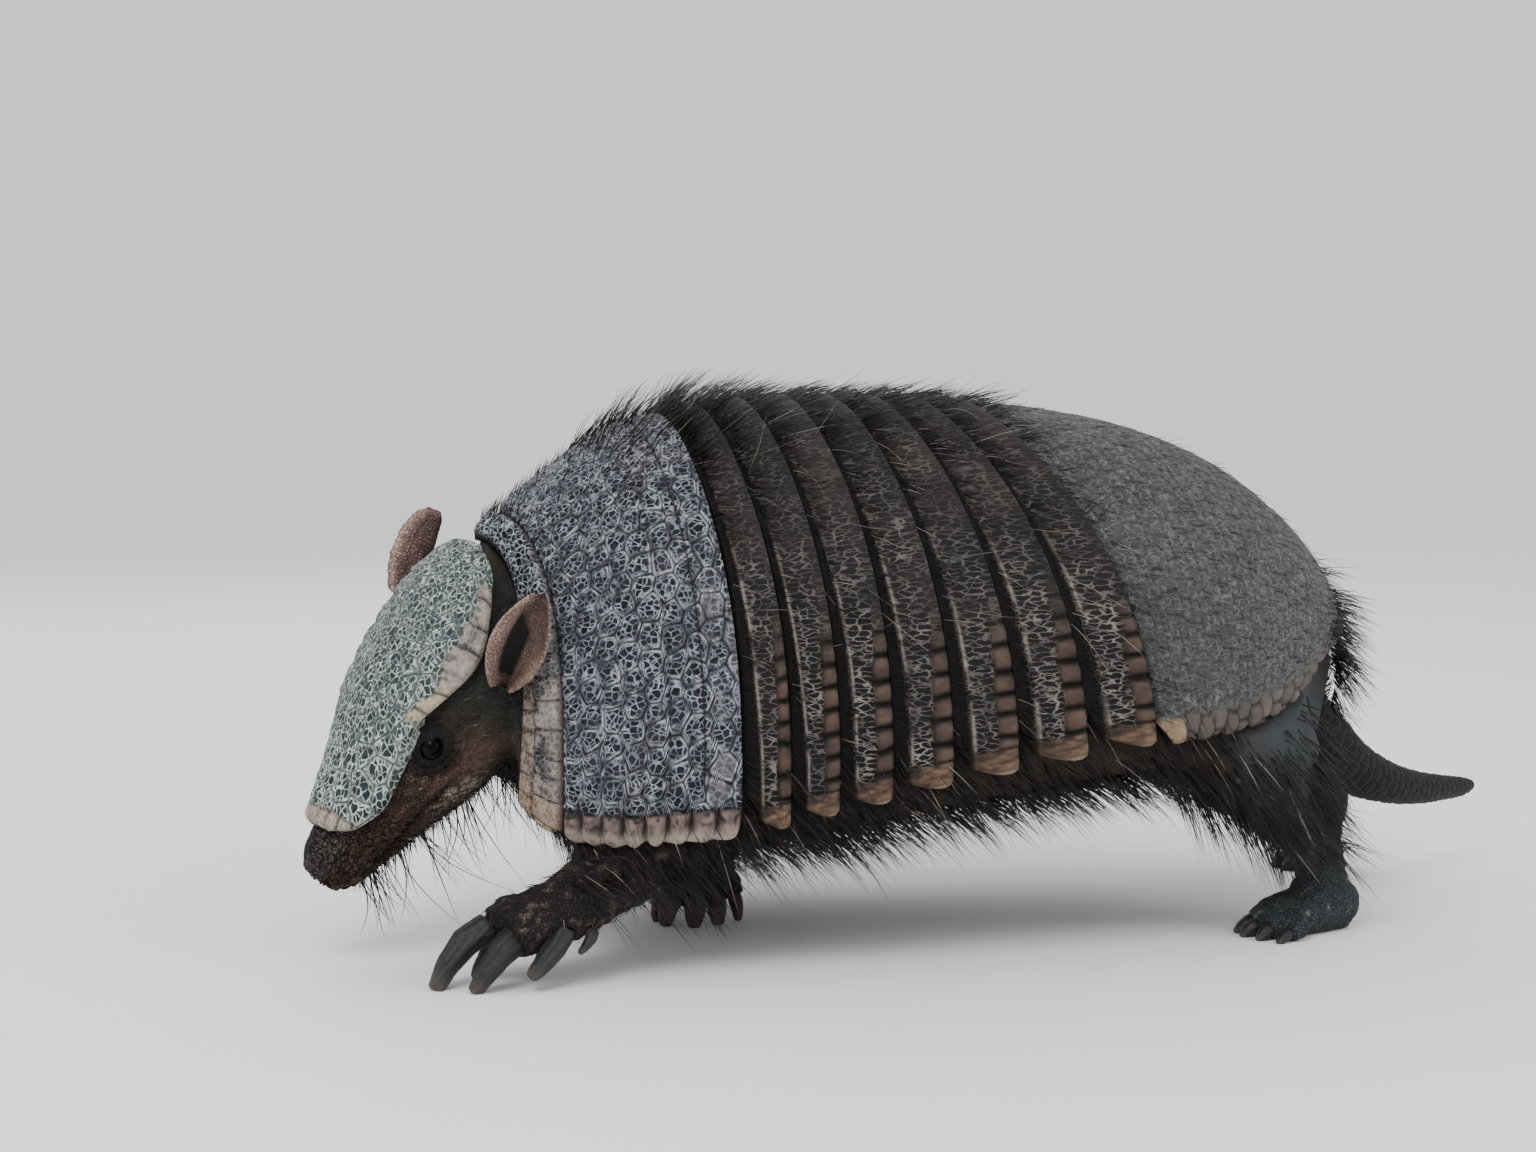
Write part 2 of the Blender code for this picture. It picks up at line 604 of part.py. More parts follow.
def leg(name, rows, shell_room, body, where):
    """Upper and lower length, which lie partly in a pocket of the trunk, then foot, toes and claws."""
    skin, horn = FINISH["skin"], FINISH["claw"]
    upper = sweep(f"{name}_upper", refine(rows["upper"], 6), skin, where, up=(1, 0, 0))
    lower = sweep(f"{name}_lower", refine(rows["lower"], 6), skin, where, up=(1, 0, 0))
    part_from(lower, body)
    part_from(upper, body)
    part_from(upper, lower)
    boolean(upper, shell_room, "DIFFERENCE")
    boolean(lower, shell_room, "DIFFERENCE")
    foot = sweep(f"{name}_foot", refine(rows["foot"], 5), skin, where)
    for base, end, _, radius, _ in rows["toes"]:
        toe = cutter(sweep("toe", toe_rows(base, end, radius), skin, where, sides=CLAW_SIDES))
        boolean(foot, toe, "UNION")
        drop(toe)
    level(foot)
    part_from(lower, foot)
    for index, (base, end, tip, _, radius) in enumerate(rows["toes"]):
        shape = claw_rows(base, end, tip, radius)
        claw = sweep(f"{name}_claw_{index + 1}", shape, horn, where, sides=CLAW_SIDES)
        level(claw)
        part_from(claw, foot)


def level(item):
    """Cuts off what lies under the floor, which leaves a small flat."""
    wide, deep = 800 * MM, 100 * MM
    corner = (-wide / 2, -wide / 2, -deep)
    floor = box_cutter("floor", corner, (1, 0, 0), (0, 1, 0), (0, 0, 1), (wide, wide, deep))
    boolean(item, floor, "DIFFERENCE")
    drop(floor)


def part_from(item, other):
    """Cuts a slightly larger copy of one solid out of another, so that the two lie a thin gap apart."""
    copy = item.copy()
    copy.data = item.data.copy()
    cutter(copy)
    swell(copy, GAP)
    boolean(other, copy, "DIFFERENCE")
    drop(copy)


def swell(item, amount):
    """Moves every vertex out along its normal."""
    work = bmesh.new()
    work.from_mesh(item.data)
    work.normal_update()
    for vertex in work.verts:
        vertex.co += vertex.normal * amount
    work.to_mesh(item.data)
    work.free()


def centre(collection):
    """Puts the origin under the middle of the bounding box."""
    bpy.context.view_layer.update()
    corners = np.array([item.matrix_world @ Vector(c)
                        for item in collection.objects for c in item.bound_box])
    low, high = corners.min(axis=0), corners.max(axis=0)
    shift = Vector((-(low[0] + high[0]) / 2, -(low[1] + high[1]) / 2, 0))
    for item in collection.objects:
        item.data.transform(Matrix.Translation(shift))


# ---------------------------------------------------------------- build

for old in list(bpy.data.objects):
    bpy.data.objects.remove(old)
for old in list(bpy.data.collections):
    bpy.data.collections.remove(old)

CUTTERS = bpy.data.collections.new("cutters")
bpy.context.scene.collection.children.link(CUTTERS)

FINISH = {
    "horn": material("shell_horn", (0.10, 0.115, 0.13), 0.55),
    "band": material("shell_band", (0.055, 0.047, 0.045), 0.6),
    "skin": material("dark_skin", (0.045, 0.036, 0.032), 0.7),
    "belly": material("belly_skin", (0.05, 0.038, 0.034), 0.8),
    "ear": material("ear_skin", (0.17, 0.115, 0.095), 0.65),
    "eye": material("wet_eye", (0.006, 0.006, 0.008), 0.05),
    "claw": material("claw_horn", (0.05, 0.043, 0.036), 0.4),
    "tail": material("tail_horn", (0.03, 0.033, 0.034), 0.65),
}


def build():
    animal = bpy.data.collections.new("armadillo")
    bpy.context.scene.collection.children.link(animal)
    shell_plates(animal)
    body = trunk(animal)
    throat = neck(animal)
    skull = head_parts(animal)
    head_shield(animal)
    eyes(skull, animal)
    front = HEAD_START - 1.5 * GAP / HEAD_LENGTH
    rings = [head_ring(a, GAP) for a in (front, 0.1, 0.25, 0.4, 0.5, 0.6)]
    room = cutter(loft("head_room", rings, FINISH["skin"], animal))
    ears(animal)
    part_from(body, throat)
    boolean(throat, room, "DIFFERENCE")
    drop(room)

    places = [p for p in TRUNK_PLACES if p <= HIP_SHIELD[-1]]
    below = np.array((0, 0, -GAP))
    far = np.array([arch(p, raised=60 * MM) for p in places]) + below
    near = np.array([arch(p, inset=SHELL + GAP) for p in places]) + below
    shell_room = cutter(slab("shell_room", far, near, FINISH["skin"], animal))
    for name, rows in LEGS.items():
        leg(name, rows, shell_room, body, animal)
    root = tail(animal)
    part_from(body, root)
    boolean(root, shell_room, "DIFFERENCE")
    drop(shell_room)
    centre(animal)


build()
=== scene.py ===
import bpy
import math
import numpy as np
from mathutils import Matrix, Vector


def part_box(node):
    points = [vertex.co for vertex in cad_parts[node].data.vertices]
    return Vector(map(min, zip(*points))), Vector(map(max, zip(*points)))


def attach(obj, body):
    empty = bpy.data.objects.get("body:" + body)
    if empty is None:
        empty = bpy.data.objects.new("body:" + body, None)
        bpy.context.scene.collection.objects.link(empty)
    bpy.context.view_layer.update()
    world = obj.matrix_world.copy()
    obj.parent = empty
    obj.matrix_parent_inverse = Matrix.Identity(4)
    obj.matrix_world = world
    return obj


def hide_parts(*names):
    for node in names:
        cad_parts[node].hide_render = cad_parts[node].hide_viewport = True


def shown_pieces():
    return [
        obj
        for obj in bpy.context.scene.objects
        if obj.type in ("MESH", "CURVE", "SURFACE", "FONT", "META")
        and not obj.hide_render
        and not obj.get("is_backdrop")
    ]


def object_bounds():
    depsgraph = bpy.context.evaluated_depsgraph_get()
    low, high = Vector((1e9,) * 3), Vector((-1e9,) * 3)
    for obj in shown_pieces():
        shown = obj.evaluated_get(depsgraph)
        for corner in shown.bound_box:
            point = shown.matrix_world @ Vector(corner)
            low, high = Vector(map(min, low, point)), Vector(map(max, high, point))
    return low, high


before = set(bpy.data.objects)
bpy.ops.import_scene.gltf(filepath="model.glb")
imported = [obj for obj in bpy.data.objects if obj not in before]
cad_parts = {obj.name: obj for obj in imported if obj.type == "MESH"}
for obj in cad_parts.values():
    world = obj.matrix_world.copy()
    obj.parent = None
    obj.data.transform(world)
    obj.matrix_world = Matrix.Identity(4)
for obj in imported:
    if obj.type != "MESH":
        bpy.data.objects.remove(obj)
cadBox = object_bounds()
scene = bpy.context.scene
mm = 0.001


# numbers that vary: smooth noise, cells and curves, all on whole arrays

def scramble(*parts, seed=0):
    # whole numbers in, an even spread of values between 0 and 1 out
    value = np.full(np.shape(parts[0]), seed * 2654435761 % 2**32, np.uint32)
    for part, stir in zip(parts, (374761393, 668265263, 3266489917)):
        value = (value ^ (np.asarray(part).astype(np.int64) & 0xFFFFFFFF).astype(np.uint32)) * np.uint32(stir)
        value = value ^ (value >> np.uint32(15))
    value = (value * np.uint32(2246822519)) ^ (value >> np.uint32(13))
    return (value >> np.uint32(8)) / 2.0**24


def cloud(points, size, seed=0):
    # smooth noise between -1 and 1: lattice values blended across each box of the given size
    spots = np.asarray(points) / size
    low = np.floor(spots).astype(np.int64)
    part = spots - low
    part = part * part * (3 - 2 * part)
    total = 0
    for corner in range(8):
        step = np.array([corner & 1, corner >> 1 & 1, corner >> 2 & 1])
        near = low + step
        total = total + (np.prod(np.where(step, part, 1 - part), axis=-1)
                         * scramble(near[..., 0], near[..., 1], near[..., 2], seed=seed))
    return total * 2 - 1


def clouds(points, size, seed=0, layers=3):
    # several layers of noise, each half as large and half as strong
    return sum(cloud(points, size / 2**layer, seed + layer * 17) / 2**layer for layer in range(layers)) / 1.75


def cells(s, t, pitchS, pitchT, jitter, brick, seed):
    # scutes laid like bricks: the distance to the nearest middle, half the step on to the second nearest,
    # and a value that is one scute's own
    near = np.full(s.shape, 1e9)
    second, own = near.copy(), np.zeros(s.shape)
    a = s / pitchS
    for rowStep in (-1, 0, 1):
        row = np.floor(a) + rowStep
        b = t / pitchT + brick * np.mod(row, 2)
        for colStep in (-1, 0, 1):
            col = np.floor(b) + colStep
            ds = (a - row - 0.5 - jitter * (scramble(row, col, seed=seed) - 0.5)) * pitchS
            dt = (b - col - 0.5 - jitter * (scramble(row, col, seed=seed + 1) - 0.5)) * pitchT
            far = np.hypot(ds, dt)
            closer = far < near
            second = np.where(closer, near, np.minimum(second, far))
            own = np.where(closer, scramble(row, col, seed=seed + 2), own)
            near = np.where(closer, far, near)
    return near, (second - near) / 2, own


def pebbled(s, t, size, jitter, seed):
    # how far a point is from the border of its pebble
    return cells(s, t, size, size, jitter, 0.5, seed)[1]


def hump(x, middle, width):
    # a bell: 1 at the middle, fading over the width
    return np.exp(-((x - middle) / width) ** 2)


def clamp(x, low=0, high=1):
    # a value held between two limits
    return np.clip(x, low, high)


def ease(x, start, end):
    # 0 before start, 1 after end, smooth between
    part = clamp((x - start) / (end - start))
    return part * part * (3 - 2 * part)


def through(rows):
    # a smooth curve through table rows, as a function of the first column
    rows = np.asarray(rows, float)
    t, v = rows[:, 0], rows[:, 1:]
    slopes = np.gradient(v, t, axis=0)

    def at(p):
        p = np.asarray(p, float)
        i = clamp(np.searchsorted(t, p, side="right") - 1, 0, len(t) - 2)
        h = (t[i + 1] - t[i])[..., None]
        u = (p - t[i])[..., None] / h
        return ((2 * u**3 - 3 * u**2 + 1) * v[i] + (u**3 - 2 * u**2 + u) * h * slopes[i]
                + (3 * u**2 - 2 * u**3) * v[i + 1] + (u**3 - u**2) * h * slopes[i + 1])

    return at


def powered(value, power):
    # the size of a value to a power, its sign kept
    return np.sign(value) * np.abs(value) ** power


def unit(vectors):
    # directions, each made one long
    return vectors / np.maximum(np.linalg.norm(vectors, axis=-1, keepdims=True), 1e-12)


def xyz(x, y, z):
    # three values or arrays put together as places or directions
    return np.stack(np.broadcast_arrays(x, y, z), axis=-1)


def ink(red, green, blue):
    # a colour as seen on screen, turned into light
    c = np.array((red, green, blue)) / 255
    return np.where(c > 0.04045, ((c + 0.055) / 1.055) ** 2.4, c / 12.92)


def times(rows, amount):
    # colours or directions, each times its own amount
    return rows * np.asarray(amount)[..., None]


def layered(tint, *layers):
    # colours laid over the tint in turn, each as strongly as its amount
    for colour, amount in layers:
        tint = tint + (colour - tint) * clamp(amount)[..., None]
    return tint


# meshes

def newPiece(name, points, quads, tris, finish=None, tint=None, extra=None):
    # a mesh from arrays, faces turned outwards, with its colours and other values kept on its points
    points = np.asarray(points, float).reshape(-1, 3)
    quads, tris = np.asarray(quads, np.int64).reshape(-1, 4), np.asarray(tris, np.int64).reshape(-1, 3)
    a, b, c = points[np.concatenate((quads[:, :3], quads[:, [0, 2, 3]], tris)).T]
    if np.einsum("ij,ij->", a, np.cross(b, c)) < 0:
        quads, tris = quads[:, ::-1], tris[:, ::-1]
    mesh = bpy.data.meshes.new(name)
    mesh.vertices.add(len(points))
    mesh.vertices.foreach_set("co", points.astype(np.float32).ravel())
    corners = np.concatenate((quads.ravel(), tris.ravel()))
    mesh.loops.add(len(corners))
    mesh.loops.foreach_set("vertex_index", corners.astype(np.int32))
    starts = np.concatenate((np.arange(len(quads)) * 4, len(quads) * 4 + np.arange(len(tris)) * 3))
    mesh.polygons.add(len(starts))
    mesh.polygons.foreach_set("loop_start", starts.astype(np.int32))
    mesh.update(calc_edges=True)
    mesh.shade_smooth()
    if tint is not None:
        full = np.ones((len(points), 4), np.float32)
        full[:, :3] = np.reshape(tint, (-1, 3))
        mesh.attributes.new("tint", "FLOAT_COLOR", "POINT").data.foreach_set("color", full.ravel())
    for key, values in (extra or {}).items():
        layer = mesh.attributes.new(key, "FLOAT", "POINT")
        layer.data.foreach_set("value", np.asarray(values, np.float32).ravel())
    piece = bpy.data.objects.new(name, mesh)
    scene.collection.objects.link(piece)
    if finish:
        mesh.materials.append(finish)
    return piece


def closedLoft(name, grid, finish, tint=None, extra=None):
    # a closed body: the grid's first index runs round a section, its second from one end to the other,
    # with a fan over each end
    rings, columns = grid.shape[:2]
    total = rings * columns
    ring = np.arange(rings)
    first, following = ring * columns, np.roll(ring, -1) * columns
    a = first[:, None] + np.arange(columns - 1)
    b = following[:, None] + np.arange(columns - 1)
    last = columns - 1
    fans = np.concatenate((np.stack((first, following, np.full(rings, total)), axis=1),
                           np.stack((following + last, first + last, np.full(rings, total + 1)), axis=1)))

    def withEnds(values):
        values = np.asarray(values)
        ends = np.stack((values[:, 0].mean(axis=0), values[:, -1].mean(axis=0)))
        return np.concatenate((values.reshape(total, -1), ends.reshape(2, -1)))

    tint = None if tint is None else withEnds(tint)
    return newPiece(name, withEnds(grid), np.stack((a, a + 1, b + 1, b), axis=-1), fans, finish, tint,
                    {key: withEnds(values) for key, values in (extra or {}).items()})


def gridNormals(grid):
    # at right angles to both ways across the grid
    return unit(np.cross(np.gradient(grid, axis=0), np.gradient(grid, axis=1)))


def triangles(piece):
    # how many there are in the piece
    piece.data.calc_loop_triangles()
    return len(piece.data.loop_triangles)


def rideOn(piece, slot, *nodes):
    # each piece rides on the one body, and stands for the CAD nodes named
    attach(piece, "root")
    if nodes:
        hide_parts(*nodes)
    print(piece.name, triangles(piece), "triangles")


# shader nodes

class Wire:
    # a socket that takes + - * and adds the Math node for each
    def __init__(self, finish, socket):
        self.finish, self.socket = finish, socket

    def maths(self, operation, first, second):
        return self.finish.node("ShaderNodeMath", {"operation": operation}, {0: first, 1: second})

    def __add__(self, other):
        return self.maths("ADD", self, other)

    def __sub__(self, other):
        return self.maths("SUBTRACT", self, other)

    def __rsub__(self, other):
        return self.maths("SUBTRACT", other, self)

    def __mul__(self, other):
        return self.maths("MULTIPLY", self, other)

    __radd__, __rmul__ = __add__, __mul__


class Finish:
    # a material with one method for adding any node
    def __init__(self, name, roughness=0.6, **constants):
        self.material = bpy.data.materials.new(name)
        self.material.use_nodes = True
        self.tree = self.material.node_tree
        self.shader = self.tree.nodes["Principled BSDF"]
        self.shader.inputs["Roughness"].default_value = roughness
        for socket, value in constants.items():
            self.shader.inputs[socket].default_value = value
        self.place = self.node("ShaderNodeTexCoord", out="Object")

    def node(self, kind, settings=None, values=None, out=0):
        made = self.tree.nodes.new(kind)
        for key, value in (settings or {}).items():
            setattr(made, key, value)
        for key, value in (values or {}).items():
            self.feed(made.inputs[key], value)
        return Wire(self, made.outputs[out])

    def feed(self, socket, value):
        if isinstance(value, Wire):
            self.tree.links.new(value.socket, socket)
        else:
            socket.default_value = value

    def put(self, name, value):
        self.feed(self.shader.inputs[name], value)

    def value(self, name):
        return self.node("ShaderNodeAttribute", {"attribute_name": name}, out="Fac")

    def colour(self):
        return self.node("ShaderNodeAttribute", {"attribute_name": "tint"}, out="Color")

    def noise(self, size, detail=2.0):
        return self.node("ShaderNodeTexNoise", None,
                         {"Vector": self.place, "Scale": 1 / size, "Detail": detail, "Roughness": 0.6})

    def mix(self, amount, below, above, way="MIX"):
        return self.node("ShaderNodeMix", {"data_type": "RGBA", "blend_type": way},
                         {0: amount, 6: below, 7: above}, out=2)

    def vector(self, operation, values):
        return self.node("ShaderNodeVectorMath", {"operation": operation}, values)

    def fade(self, value, start, end, first, last):
        return self.node("ShaderNodeMapRange", {"interpolation_type": "SMOOTHSTEP"},
                         {0: value, 1: start, 2: end, 3: first, 4: last})

    def mottled(self, fine, broad):
        # the painted colour, lightened and darkened by fine and broad grain
        tone = 0.62 + fine * 0.5 + broad * 0.26
        grey = self.node("ShaderNodeCombineColor", None, {0: tone, 1: tone, 2: tone})
        return self.mix(1.0, self.colour(), grey, "MULTIPLY")

    def worn(self, rough, fine, ruffle):
        # roughness runs from grooves to crests by the value "crest"
        self.put("Roughness", rough[0] + self.value("crest") * (rough[1] - rough[0]) + fine * ruffle)

    def bump(self, height, distance):
        self.put("Normal", self.node("ShaderNodeBump", None,
                                     {"Height": height, "Distance": distance, "Strength": 1.0}))


def grownFinish(name, grain, bumpDepth, rough):
    # the painted colour with grain over it, and grain and pebbles as bump
    finish = Finish(name, IOR=1.28)
    fine, broad = finish.noise(grain, 3.0), finish.noise(grain * 9)
    finish.put("Base Color", finish.mottled(fine, broad))
    finish.worn(rough, fine, 0.12)
    pebbles = finish.node("ShaderNodeTexVoronoi", {"feature": "F1"},
                          {"Vector": finish.place, "Scale": 1 / (grain * 2.2)}, out="Distance")
    finish.bump(fine + pebbles * 0.8, bumpDepth)
    return finish.material


def hornFinish(name, size, stretch, line, pit=None, hollow=0.85, relief=0.4, rough=(0.68, 0.4), index=1.28):
    # a fine web: lines along the edges of small cells and pits within them, both as strong as the value "web"
    # says; the cells can be stretched along the body, hollow is how dark the pits are, and a relief under
    # zero sinks the lines instead
    finish = Finish(name, IOR=index)
    wander = finish.node("ShaderNodeTexNoise", None, {"Vector": finish.place, "Scale": 1 / (size * 1.6 * mm)},
                         out="Color")
    wander = finish.vector("SUBTRACT", {0: wander, 1: (0.5, 0.5, 0.5)})
    wander = finish.vector("SCALE", {0: wander, 3: size * 0.9 * mm})
    place = finish.vector("MULTIPLY", {0: finish.vector("ADD", {0: finish.place, 1: wander}), 1: stretch})
    edge = finish.node("ShaderNodeTexVoronoi", {"feature": "DISTANCE_TO_EDGE"},
                       {"Vector": place, "Scale": 1 / (size * mm), "Randomness": 0.9}, out="Distance")
    fine, broad, patchy = finish.noise(0.5 * mm, 3.0), finish.noise(4.5 * mm), finish.noise(2.6 * mm, 1.0)
    ridge = finish.fade(edge, 0.015, 0.125, 1, 0)
    hole = finish.fade(edge, 0.08, 0.24, 0, 1) * finish.fade(patchy, 0.36, 0.62, 0.25, 1.0)
    broken = finish.fade(broad + fine * 0.5, 0.50, 0.84, 0.12, 1.0)
    web = finish.value("web")
    colour = finish.mottled(fine, broad)
    if pit is not None:
        colour = finish.mix(web * hole * hollow, colour, (*pit, 1))
    finish.put("Base Color", finish.mix(web * ridge * broken, colour, (*line, 1)))
    finish.worn(rough, fine, 0.1)
    finish.bump((ridge - hole) * web * math.copysign(0.8, relief) + fine * 0.5, abs(relief) * mm)
    return finish.material


finishes = {
    "shoulder": hornFinish("shoulderHorn", 2.2, (0.85, 1, 1), ink(176, 181, 190), ink(8, 9, 13), 1.5),
    "band": hornFinish("bandHorn", 1.75, (0.28, 1, 1), ink(148, 141, 136), ink(9, 8, 8)),
    "hip": hornFinish("hipHorn", 1.55, (0.42, 1, 1), ink(124, 125, 123), ink(26, 26, 26), 0.6, index=1.4),
    "brow": hornFinish("browHorn", 1.9, (0.9, 0.9, 0.62), ink(206, 213, 208), ink(20, 26, 27), 0.75),
    "skin": hornFinish("hideSkin", 1.4, (1, 1, 1), ink(14, 11, 10), relief=-0.6, rough=(0.8, 0.6)),
    "ear": hornFinish("earSkin", 1.5, (1, 1, 1), ink(112, 88, 80), relief=-0.9, rough=(0.75, 0.55),
                      index=1.3),
    "tail": grownFinish("tailHorn", 0.6 * mm, 0.3 * mm, (0.7, 0.45)),
    "claw": grownFinish("clawHorn", 0.9 * mm, 0.12 * mm, (0.45, 0.32)),
}


# camera, light and floor

viewSet = {"place": (-0.2992, -0.974, 0.208), "turn": 13.0, "tilt": -4.3, "lens": 62.3, "sensor": 36,
           "near": 0.02, "far": 30}
lightSet = {
    "key": {"place": (-0.75, -1.05, 1.35), "aim": (-0.05, 0, 0.1), "size": 0.9, "power": 17},
    "fill": {"place": (1.1, -0.9, 0.7), "aim": (0.05, 0, 0.08), "size": 1.2, "power": 6},
    "back": {"place": (-0.3, 1.2, 1.2), "aim": (0, 0, 0.1), "size": 1.2, "power": 9},
    "sky": {"colour": (0.93, 0.94, 0.96, 1), "strength": 1.1},
}
floorSet = {"flat": 2.6, "rise": 1.6, "rings": 12, "steps": 16, "round": 96, "thick": 0.02}


def makeCamera():
    data = bpy.data.cameras.new("camera")
    data.lens, data.sensor_width = viewSet["lens"], viewSet["sensor"]
    data.clip_start, data.clip_end = viewSet["near"], viewSet["far"]
    camera = bpy.data.objects.new("camera", data)
    camera.location = viewSet["place"]
    camera.rotation_euler = (math.radians(90 + viewSet["tilt"]), 0, -math.radians(viewSet["turn"]))
    scene.collection.objects.link(camera)
    scene.camera = camera
    print("camera")


def makeLights():
    world = bpy.data.worlds.new("studio")
    world.use_nodes = True
    back = world.node_tree.nodes["Background"]
    back.inputs["Color"].default_value = lightSet["sky"]["colour"]
    back.inputs["Strength"].default_value = lightSet["sky"]["strength"]
    scene.world = world
    for name in ("key", "fill", "back"):
        spec = lightSet[name]
        data = bpy.data.lights.new(name, "AREA")
        data.shape, data.size, data.energy = "DISK", spec["size"], spec["power"]
        light = bpy.data.objects.new(name, data)
        light.location = spec["aim"]
        aim = light.location.copy()
        light.location = spec["place"]
        light.rotation_euler = (aim - light.location).to_track_quat("-Z", "Y").to_euler()
        scene.collection.objects.link(light)
    print("lights")


def makeFloor():
    # a round floor whose rim rises: radius and height along a curve, turned round the middle
    look = floorSet
    finish = Finish("paleFloor", 0.9)
    finish.put("Base Color", finish.mix(finish.noise(0.05) * 0.5, (0.92, 0.92, 0.92, 1),
                                        (0.94, 0.94, 0.94, 1)))
    climb = np.linspace(0, math.pi / 2, look["steps"])[1:]
    inside = np.linspace(0.01, look["flat"], look["rings"])
    radius = np.append(inside, look["flat"] + look["rise"] * np.sin(climb))
    height = np.append(0 * inside, look["rise"] * (1 - np.cos(climb)))
    turn = np.linspace(0, 2 * math.pi, look["round"], endpoint=False)
    top = xyz(radius[:, None] * np.cos(turn), radius[:, None] * np.sin(turn), height[:, None])
    grid = np.concatenate((top, top[::-1] - (0, 0, look["thick"]))).swapaxes(0, 1)
    closedLoft("floor", grid, finish.material)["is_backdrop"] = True
    print("floor")


# the shell's frame: sections along the back, each with its place, top x, top z, edge x, edge z, half width,
# notch and lean, in millimetres
shellRow = through((
    (0, -171, 152, -162, 56, 52.5, 9, 0), (1, -159, 160, -149, 47, 69, 8, 3),
    (1.7, -133, 176.5, -132, 46, 83, 5, 8), (2.4, -108, 189, -111, 48, 91, 2, 13),
    (3, -86, 194, -91, 50, 95, 0, 17), (4, -71, 196.5, -74, 53, 97, 0, 18),
    (5, -54, 199, -57, 57, 98, 0, 19), (6, -36, 200, -38, 61, 98, 0, 20),
    (7, -17, 200, -16, 66, 98, 0, 22), (8, 3, 200, 8, 70, 98, 0, 26),
    (9, 24, 199.5, 34, 74, 97, 0, 31), (10, 47, 198.5, 60, 77, 95, 0, 36),
    (11, 72, 196, 76, 78, 93, 0, 31), (12, 97, 189.5, 92, 80, 89, 0, 22),
    (13, 120, 176.5, 107, 83, 83, 0, 12), (14, 140, 156, 121, 89, 74, 0, 4),
    (15, 154, 134, 132, 97, 62, 0, 0), (16, 161, 116, 141, 102, 50, 0, 0),
    (17, 164, 98, 148, 88, 42, 0, 0), (18, 162, 78, 153, 70, 30, 0, 0),
))
shellSet = {"fullness": 0.86, "curve": 2.5, "thick": 4.0, "step": 1.6, "dip": -0.64, "gap": 0.02, "lip": 0.3,
            "turns": 721, "innerRows": 4, "inside": ink(34, 28, 25)}

# the head: its back end, angles and length; then along it the half width and the height above and below
headSet = {"back": (-158, -10, 130), "pitch": 53, "yaw": 17.5, "roll": 10, "length": 124, "fullness": 0.92}
headRow = through((
    (0.00, 31.0, 25.0, 27.0), (0.10, 34.5, 27.5, 29.0), (0.25, 36.5, 28.0, 30.0), (0.40, 35.0, 27.0, 30.0),
    (0.50, 32.0, 25.5, 29.5), (0.60, 27.0, 22.0, 26.0), (0.70, 22.0, 18.5, 22.0), (0.80, 18.3, 15.0, 18.0),
    (0.90, 15.0, 11.5, 13.5), (0.96, 13.2, 9.5, 11.0), (1.00, 9.5, 6.5, 7.5),
))
eyeSet = {"along": 0.545, "angle": 68, "depth": 2.8, "radius": 4.6, "back": 0.3, "bulge": 0.05, "round": 48,
          "rings": 34}
sides = ("left", "right")


def headAxes():
    # the way the head points, its right and its up: turned by the yaw, tipped down by the pitch, rolled last
    cp, cy, cr = (math.cos(math.radians(headSet[k])) for k in ("pitch", "yaw", "roll"))
    sp, sy, sr = (math.sin(math.radians(headSet[k])) for k in ("pitch", "yaw", "roll"))
    right, up = np.array((-sy, cy, 0)), np.array((-sp * cy, -sp * sy, cp))
    return np.array((-cp * cy, -cp * sy, -sp)), cr * right + sr * up, cr * up - sr * right


forward, rightward, upward = headAxes()
headBack = np.array(headSet["back"]) * mm
eyeMiddle = {side: np.array(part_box(f"eye_{side}")).mean(axis=0) for side in sides}


def onHead(along, angle, lift=0.0):
    # the head's surface: its section is a full ellipse, the angle (degrees) goes round from the forehead
    along, angle = np.broadcast_arrays(np.asarray(along, float), np.asarray(angle, float))
    width, above, below = np.moveaxis(headRow(along), -1, 0)
    side, rise = np.sin(np.radians(angle)), np.cos(np.radians(angle))
    x = powered(side, headSet["fullness"]) * (width + lift)
    y = powered(rise, headSet["fullness"]) * (np.where(rise > 0, above, below) + lift)
    return (headBack + forward * (along * headSet["length"] * mm)[..., None]
            + rightward * (x * mm)[..., None] + upward * (y * mm)[..., None])


def eyeSpot(sign):
    # where the eye's middle line meets the head's surface, and the way it looks
    axisSpot = headBack + forward * eyeSet["along"] * headSet["length"] * mm
    skinSpot = onHead(eyeSet["along"], sign * eyeSet["angle"])
    return skinSpot, unit(skinSpot - axisSpot)


# the frame is shifted along X against the tables: the eye's place tells by how much
skinSpot, outward = eyeSpot(-1)
tableEye = skinSpot - outward * eyeSet["depth"] * mm
shift = np.array((eyeMiddle["left"][0] - tableEye[0], 0, 0))
headBack = headBack + shift
eyeAxis = {side: eyeSpot(sign)[1] for side, sign in zip(sides, (-1, 1))}
print("tables shifted by", np.round(shift / mm, 2), "eye off by",
      np.round((eyeMiddle["left"] - tableEye) / mm, 2))


def arch(place, turn, grow=0.0):
    # the shell's section: sine and cosine of the turn, each to a power, along the section's two axes; its top
    # leans forward by a further power of the height
    topX, topZ, edgeX, edgeZ, half, notch, lean = np.moveaxis(shellRow(place), -1, 0)
    rise = np.hypot(topX - edgeX, topZ - edgeZ)
    share = powered(np.cos(turn), shellSet["fullness"])
    lift = share * (rise + grow) / rise
    bow = notch * np.sin(np.abs(turn) * 2) - lean * powered(share, shellSet["curve"])
    y = powered(np.sin(turn), shellSet["fullness"]) * (half + grow)
    return xyz(edgeX + lift * (topX - edgeX) + bow, y, edgeZ + lift * (topZ - edgeZ)) * mm + shift


